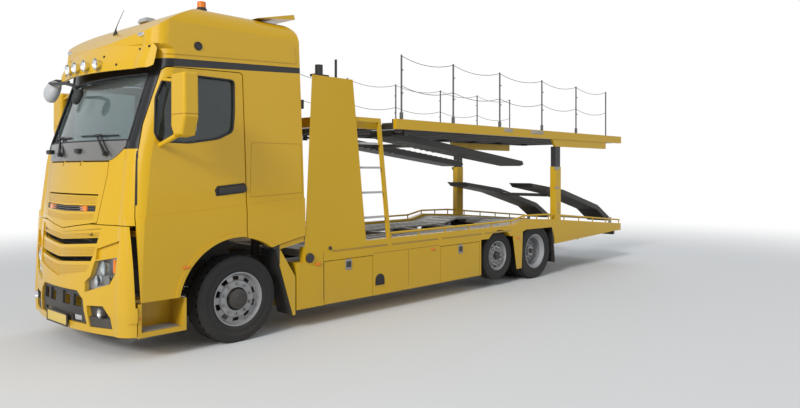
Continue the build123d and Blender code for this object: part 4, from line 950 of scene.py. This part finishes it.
grip_y = seen("left", front_axle - 0.05, 1.708, "door_left").y
dish = new_plate([at(x, grip_y + 0.012, z) for x, z in rounded_outline(handle_corners, 0.03)])
pick_faces(dish)
push(0, -0.012, 0)
bpy.ops.mesh.inset(thickness=0.008)
push(0, 0.009, 0)
bpy.ops.mesh.select_all(action="SELECT")
bpy.ops.mesh.normals_make_consistent(inside=False)
grip = new_block(-0.255, 0.085, grip_y - 0.010, grip_y + 0.012, 1.655, 1.718, 0.009, 3)
pick_faces(grip)
bpy.ops.transform.rotate(value=radians(5), orient_axis="Y", center_override=at(-0.085, grip_y, 1.69))
both_sides(join_pieces([dish, grip]), "door_pull_*", black_plastic, "door_*", smooth=40)

# Flap lamps and louvre: amber repeaters in a ribbed grey insert behind the flap's lower slot, clipped to
# the flap's back.
rib_grey = weathered("rib_grey", (0.09, 0.09, 0.092), 0.4, film_top=1.7, film=0.25, grain=200.0, bump=0.0003)
front_sheet("flap_insert", lambda y: 1.468, lambda y: 1.556, 0.640, "front_flap", -0.030, 0.004, (30, 6),
            rib_grey, "front_flap")
ribs = []
for row in range(3):
    line = []
    for y in (-0.62 + 1.24 * step / 24 for step in range(25)):
        seat_x = seen("front", y, 1.40, "front_flap").x
        line.append(Vector((seat_x + 0.016, y, 1.488 + 0.021 * row - 0.010 * (1 - abs(y) / 0.62))))
    ribs.append(new_bead(line, 0.006, closed=False, resolution=1))
finish_piece(join_pieces(ribs), "flap_louvre", rib_grey, "front_flap", smooth=40)
for side, y in (("left", -0.40), ("right", 0.40)):
    x = seen("front", y, 1.42, "front_flap").x - front_axle
    repeater = new_block(x + 0.004, x + 0.03, y - 0.085, y + 0.085, 1.478, 1.538, 0.010)
    finish_piece(repeater, f"flap_repeater_{side}", amber, "front_flap")

# Behind the grille: a black wire mesh against stones, and behind that the flat black front of the
# radiator.
mesh_black = weathered("mesh_black", (0.008, 0.008, 0.008), 0.6, film_top=1.4, film=0.15, grain=240.0,
                       bump=0.003)
wires = [new_bead([at(-1.30, -0.62 + 1.24 * step / 12, 0.86 + 0.055 * row) for step in range(13)], 0.006,
                  closed=False, resolution=1) for row in range(8)]
wires += [new_bar(at(-1.295, y, 0.84), at(-1.295, y, 1.27), 0.005, 6)
          for y in (-0.60 + 0.12 * column for column in range(11))]
finish_piece(join_pieces(wires), "grille_mesh", mesh_black, smooth=40)
radiator = new_block(-1.245, -1.235, -0.66, 0.66, 0.80, 1.29, 0.003)
finish_piece(radiator, "radiator_front", mesh_black, smooth=0)

# Headlamps: a clear moulded cover over a bright housing, with two round reflectors and an amber bulb in
# the outer corner. The cover and the housing follow the outer face of the carried-over lamps.
housing_depth = 0.044
reflector = weathered("reflector", (0.72, 0.74, 0.76), 0.16, film_top=0.1, film=0.0, patches=0.05,
                      metallic=0.85, bump=0.0, slot="wheel_steel")
lamp_housing = weathered("lamp_housing", (0.42, 0.43, 0.44), 0.28, film_top=0.1, film=0.0, patches=0.05,
                         metallic=0.6, slot="lamp_lens")
cover = bpy.data.objects.new("headlamp_covers", node["headlamps"].data.copy())
scene.collection.objects.link(cover)
pick_faces(cover)
bpy.ops.mesh.remove_doubles(threshold=0.00001)
pick_faces(cover, lambda centre, normal: normal.x > -0.15)
bpy.ops.mesh.delete(type="FACE")
choose(cover)
housing = bpy.data.objects.new("headlamp_housings", cover.data.copy())
scene.collection.objects.link(housing)
modify(cover, "SOLIDIFY", thickness=0.004, offset=-1.0)
finish_piece(cover, "headlamp_covers", lens, smooth=25)
pick_faces(housing)
bpy.ops.transform.translate(value=(housing_depth, 0, 0))
modify(housing, "SOLIDIFY", thickness=0.003, offset=-1.0)
finish_piece(housing, "headlamp_housings", lamp_housing, smooth=25)
for side, sign in (("left", -1), ("right", 1)):
    for label, y, z, radius in (("main", 0.835, 0.925, 0.085), ("dip", 0.735, 0.795, 0.062)):
        seat = seen("front", sign * y, z, "headlamps")
        round_lamp(f"headlamp_{label}_{side}", seat + shift(housing_depth, 0, 0), radius, 0.030, reflector)
    seat = seen("front", sign * 0.985, 0.94, "headlamps")
    bulb = new_bar(seat + shift(0.018, 0, -0.055), seat + shift(0.020, -sign * 0.01, 0.075), 0.026, 20, 0.8)
    finish_piece(bulb, f"headlamp_turn_{side}", amber)
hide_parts("headlamps")

# Fog lamps and number plate: round lamps in the bumper's corner panels, and the blank plate in its clipped
# black frame.
fog_x = seen("front", -0.838, 0.478, "lower_intake").x + 0.004
for side, y in (("left", -0.838), ("right", 0.838)):
    round_lamp(f"fog_lamp_{side}", Vector((fog_x, y, 0.478)), 0.047, 0.030, reflector)
plate_low, plate_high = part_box("number_plate")
frame_bar = 0.012
frame_back = plate_low.x - front_axle - 0.006
frame_front = plate_low.x - front_axle + 0.010
frame_bars = [new_block(frame_back, frame_front, plate_low.y - frame_bar, plate_high.y + frame_bar,
                        z - frame_bar, z + 0.004) for z in (plate_low.z, plate_high.z + 0.008)]
frame_bars += [new_block(frame_back, frame_front, y - 0.008, y + 0.008, plate_low.z - frame_bar,
                         plate_high.z + frame_bar) for y in (plate_low.y - 0.004, plate_high.y + 0.004)]
finish_piece(join_pieces(frame_bars), "plate_frame", black_plastic)


# Entry steps: ribbed alloy treads screwed into the step box, the small lamp at its front corner and the
# door's marker lamp.
def patch(name, outline, sources, wall, finish, body="chassis", out=0.0, view="left", slot=None):
    """A thin plate on a curved face and its twin on the right. Its outline is seen from the left, with
    stations behind the front axle, or from behind."""
    way, begin = (Vector((0, -1, 0)), front_axle) if view == "left" else (Vector((1, 0, 0)), 0)
    places = [seen(view, begin + across, z, *sources) + way * out for across, z in outline]
    plate = new_plate(places, way)
    modify(plate, "SOLIDIFY", thickness=wall, offset=1.0)
    modify(plate, "BEVEL", width=wall * 0.4, segments=2, angle_limit=radians(50))
    both_sides(plate, f"{name}_*", finish, body, smooth=40, slot=slot)


def ring_points(centre_a, centre_z, radius, count=24):
    """Points round a circle."""
    return [(centre_a + radius * cos(2 * pi * step / count), centre_z + radius * sin(2 * pi * step / count))
            for step in range(count)]


def box_points(a0, a1, z0, z1, radius=0.012):
    """Points round a rectangle with rounded corners."""
    return rounded_outline([(a0, z0), (a1, z0), (a1, z1), (a0, z1)], radius)


tread_alloy = weathered("tread_alloy", (0.30, 0.30, 0.29), 0.4, film_top=0.9, film=0.4, metallic=0.7,
                        slot="dark_steel")
treads = [new_block(-1.06, -0.68, -1.215 + 0.045 * row, -1.195 + 0.045 * row, 0.300, 0.312, 0.003)
          for row in range(5)]
both_sides(join_pieces(treads), "step_tread_*", tread_alloy)
patch("step_lamp", ring_points(-1.095, 0.441, 0.020), ["entry_steps"], 0.010, amber)
patch("side_marker_front", box_points(-0.675, -0.597, 0.890, 0.914, 0.006), ["door_left"], 0.012, amber,
      "door_*")

# Body sides: diesel filler and small caps, locker latches, marker lamps, a black sheet over the access
# cut-out as painted shade inside it, dark strips along the folded seams of the sheet steel as painted shade
# of the folds, and the reflective strip along the deck's edge.
# A darkened copy of the body yellow, used as painted shade along the folds of the sheet steel.
seam_dark = weathered("seam_dark", (0.10, 0.065, 0.006), 0.7, film_top=1.4, slot="body_paint")
strip_amber = weathered("reflective_strip", (0.40, 0.235, 0.015), 0.3, film_top=1.4, film=0.4, grain=400.0,
                        slot="lamp_red")
side_steel = ["side_bodies", "deck_edges", "towers"]
patch("filler_cap", ring_points(0.942, 0.843, 0.060), side_steel, 0.022, black_plastic)
patch("drain_cap", ring_points(1.257, 0.935, 0.024), side_steel, 0.016, black_plastic)
for label, x in (("front", 1.558), ("rear", 3.789)):
    for piece, half, z0, z1, corner, out, wall, finish in (
        ("dish", 0.052, 0.632, 0.768, 0.016, 0.0, 0.004, nut_steel),
        ("pull", 0.034, 0.665, 0.742, 0.010, 0.003, 0.012, black_plastic),
    ):
        patch(f"latch_{piece}_{label}", box_points(x - half, x + half, z0, z1, corner), [f"lid_{label}_left"],
              wall, finish, f"lid_{label}_*", out)
for number, (x, z) in enumerate(((1.071, 0.756), (3.164, 0.755), (5.310, 0.753)), 1):
    patch(f"marker_{number}", box_points(x - 0.040, x + 0.040, z - 0.015, z + 0.015, 0.006),
          ["side_bodies", "rear_mudguards"], 0.014, amber)
# A thin black sheet over the access hole: painted shade standing in for the dark inside of the hole.
arch = [(2.108 + 0.085 * cos(pi * step / 12), 0.435 + 0.085 * sin(pi * step / 12)) for step in range(13)]
patch("access_hole_shade", [(2.023, 0.365), (2.193, 0.365)] + arch, ["side_bodies"], 0.002, mesh_black)
patch("access_sill", box_points(2.010, 2.206, 0.348, 0.366, 0.004), ["side_bodies"], 0.006, body_paint)
# Thin dark strips on the fold lines: painted shade of the folds, with no groove cut.
for number, (x0, x1, z0, z1) in enumerate(((1.153, 1.158, 0.300, 0.900), (1.985, 3.320, 0.798, 0.802),
                                          (2.650, 2.654, 0.300, 0.795)), 1):
    patch(f"seam_{number}", [(x0, z0), (x1, z0), (x1, z1), (x0, z1)], side_steel, 0.0012, seam_dark)
for number, (x0, x1) in enumerate(((1.30, 2.25), (2.33, 3.28), (3.36, 4.31), (4.39, 5.10)), 1):
    patch(f"strip_{number}", box_points(x0, x1, 0.882, 0.908, 0.004), ["deck_edges"], 0.0015, strip_amber)

# Lower deck: folded steel grip bars across the wheel tracks, welded on in even rows and worn bright by
# tyres.
grip_bars = []
for x in (1.35 + 0.165 * step for step in range(44)):
    for y in (-0.62, 0.62):
        seat = seen("above", front_axle + x, y, "lower_deck")
        if seat and seat.z > 0.7:
            grip_bars.append(new_block(x - 0.012, x + 0.012, y - 0.24, y + 0.24, seat.z - 0.004,
                                       seat.z + 0.010, 0.003, 1))
finish_piece(join_pieces(grip_bars), "grip_bars", worn_deck)

# Seats: sprung cab seats in woven cloth, a crowned base and back with side bolsters, and a headrest. They
# stand on a moulded foot.
seat_lean = 12.0
hinge_z = 1.76
seat_shapes = (("base", (-0.48, 0.05), 0.245, (1.66, 1.775), 0.0),
               ("back", (0.03, 0.15), 0.235, (hinge_z, 2.36), seat_lean),
               ("rest", (0.08, 0.17), 0.13, (2.33, 2.46), seat_lean))
for side, middle in (("left", -0.57), ("right", 0.57)):
    for label, (x0, x1), half, (z0, z1), lean in seat_shapes:
        centre = at((x0 + x1) / 2, middle, (z0 + z1) / 2)
        cushion = start(bpy.ops.mesh.primitive_cube_add, size=1, location=centre,
                        scale=(x1 - x0, 2 * half, z1 - z0))
        pick_faces(cushion)
        bpy.ops.mesh.subdivide(number_cuts=5)
        if lean:
            bpy.ops.transform.rotate(value=radians(-lean), orient_axis="Y",
                                     center_override=at(x0, middle, hinge_z))
        choose(cushion)
        for vertex in cushion.data.vertices:
            across = abs(vertex.co.y - middle) / half
            swell = 0.018 * across ** 3 - (0.008 if abs(across - 0.62) < 0.08 else 0.0)
            if label == "base":
                vertex.co.z += swell if vertex.co.z > 1.70 else 0.0
            else:
                vertex.co.x -= swell if vertex.co.x < centre.x else 0.0
        modify(cushion, "BEVEL", width=0.022, segments=3, limit_method="ANGLE", angle_limit=radians(60))
        modify(cushion, "SUBSURF", levels=1, render_levels=1)
        finish_piece(cushion, f"seat_{label}_{side}", cloth, smooth=60, stands_for="seats")
    foot = new_block(-0.33, 0.02, middle - 0.13, middle + 0.13, 1.25, 1.66, 0.03, 3)
    finish_piece(foot, f"seat_foot_{side}", inside_plastic, smooth=40, stands_for="seats")

# Door linings: a moulded grey plastic panel clipped inside each door, with a padded armrest under the
# window and a pocket below that.
lining_wall = 0.014
lining_line = [node["door_left"].ray_cast(at(x, -0.8, z), Vector((0, -1, 0)))[1]
               for x, z in box_points(-0.92, -0.06, 1.40, 2.12, 0.05)]
lining = new_plate(lining_line, Vector((0, 1, 0)))
modify(lining, "SOLIDIFY", thickness=lining_wall, offset=1.0)
inner_y = max(place.y for place in lining_line) + lining_wall
armrest = new_block(-0.72, -0.14, inner_y - 0.01, inner_y + 0.055, 1.66, 1.73, 0.016, 3)
pocket = new_block(-0.80, -0.12, inner_y - 0.01, inner_y + 0.030, 1.43, 1.53, 0.012, 3)
both_sides(join_pieces([lining, armrest, pocket]), "door_lining_*", inside_plastic, "door_*")

# Tail: each lamp bar has three round plastic lenses, a red, an amber and a white one, set in rubber
# rings.
lamp_low, lamp_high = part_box("tail_lamps")
lamp_z = (lamp_low.z + lamp_high.z) / 2
lamp_size = (lamp_high.z - lamp_low.z) * 0.40
lens_white = weathered("lens_white", (0.60, 0.60, 0.58), 0.2, film=0.3, coat=0.4, bump=0.0, slot="lamp_red")
for number, (out, finish) in enumerate(((0.075, red_lens), (0.180, amber), (0.285, lens_white)), 1):
    y = lamp_low.y + out
    patch(f"tail_ring_{number}", ring_points(y, lamp_z, lamp_size * 1.12), ["tail_lamps"], 0.008,
          black_plastic, view="back")
    patch(f"tail_lens_{number}", ring_points(y, lamp_z, lamp_size * 0.9), ["tail_lamps"], 0.012, finish,
          out=0.006, view="back")

# Bolts: zinc-plated hexagon heads on plain washers, which hold the column sleeves to the deck's edge
# beams.
heads = []
bolt_seats = [seen("left", front_axle + x, z, "column_sleeves") for x in (6.50, 6.62)
              for z in (1.13, 1.20, 1.27)]
for seat in filter(None, bolt_seats):
    for sides, radius, tall in ((16, 0.016, 0.003), (6, 0.011, 0.011)):
        heads.append(new_bar(seat + shift(0, 0.002, 0), seat - shift(0, tall, 0), radius, sides))
both_sides(join_pieces(heads), "column_bolts_*", nut_steel, slot="galvanised")

# Upper deck's edge: galvanised patch plates on the rail, and the railing posts' sockets with the eyes that
# hold the wires.
for number, (x0, x1) in enumerate(((4.92, 5.15), (5.71, 6.09)), 1):
    patch(f"rail_plate_{number}", box_points(x0, x1, 2.545, 2.600, 0.006), ["upper_edges"], 0.005, worn_deck,
          "upper_deck", slot="galvanised")
rail_top = 2.62
socket_tall = 0.09
sockets = []
for x in (2.55, 3.66, 4.84, 6.10, 7.29, 8.50):
    seat = seen("left", front_axle + x, 2.90, "railing_posts")
    if seat and seat.y < -0.5:
        post_y = seat.y + 0.014
        sockets.append(new_bar(Vector((seat.x, post_y, rail_top)),
                               Vector((seat.x, post_y, rail_top + socket_tall)), 0.026, 16))
        for eye_z in (2.98, 3.30):
            sockets.append(new_bar(Vector((seat.x, seat.y + 0.010, eye_z)),
                                   Vector((seat.x, seat.y - 0.022, eye_z)), 0.008, 8))
both_sides(join_pieces(sockets), "post_sockets_*", zinc, "upper_deck")

# Junction boxes: a pair of small black mouldings behind the towers' tops, one each side of the truck's
# middle plane.
both_sides(new_block(1.695, 1.755, 0.004, 0.075, 2.77, 2.90, 0.008), "junction_box_*", black_plastic)

# Collars of the telescopic columns: grey steel wear plates on the outer face of each sleeve, a broad one
# at its top and a narrow one lower down.
sleeve_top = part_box("column_sleeves")[1].z
collar_x = 6.562
collar_half = 0.075
collars = []
for z0, z1 in ((sleeve_top - 0.055, sleeve_top + 0.002), (sleeve_top - 0.40, sleeve_top - 0.37)):
    seat = seen("left", front_axle + collar_x, (z0 + z1) / 2, "column_sleeves")
    collars.append(new_block(collar_x - collar_half, collar_x + collar_half, seat.y - 0.006, seat.y + 0.004,
                             z0, z1, 0.003))
both_sides(join_pieces(collars), "column_collar_*", nut_steel, slot="galvanised")

# Tilting tracks and rear platform: short anti-slip strips of flat steel welded across the wheel tracks,
# worn bright by tyres.
strip_pitch = 0.14
for name, x, last in (("inner_tracks", 2.2, 6.2), ("rear_platform", 5.2, 8.4)):
    strips = []
    while x < last:
        for y in (-0.62, -0.50, 0.50, 0.62):
            found, place = node[name].ray_cast(at(x, y, 2.3), Vector((0, 0, -1)))[:2]
            if found and place.z > 0.9:
                strips.append(new_block(x - 0.010, x + 0.010, y - 0.05, y + 0.05, place.z - 0.006,
                                        place.z + 0.006, 0.002, 1))
        x += strip_pitch
    finish_piece(join_pieces(strips), f"{name}_strips", worn_deck, name)
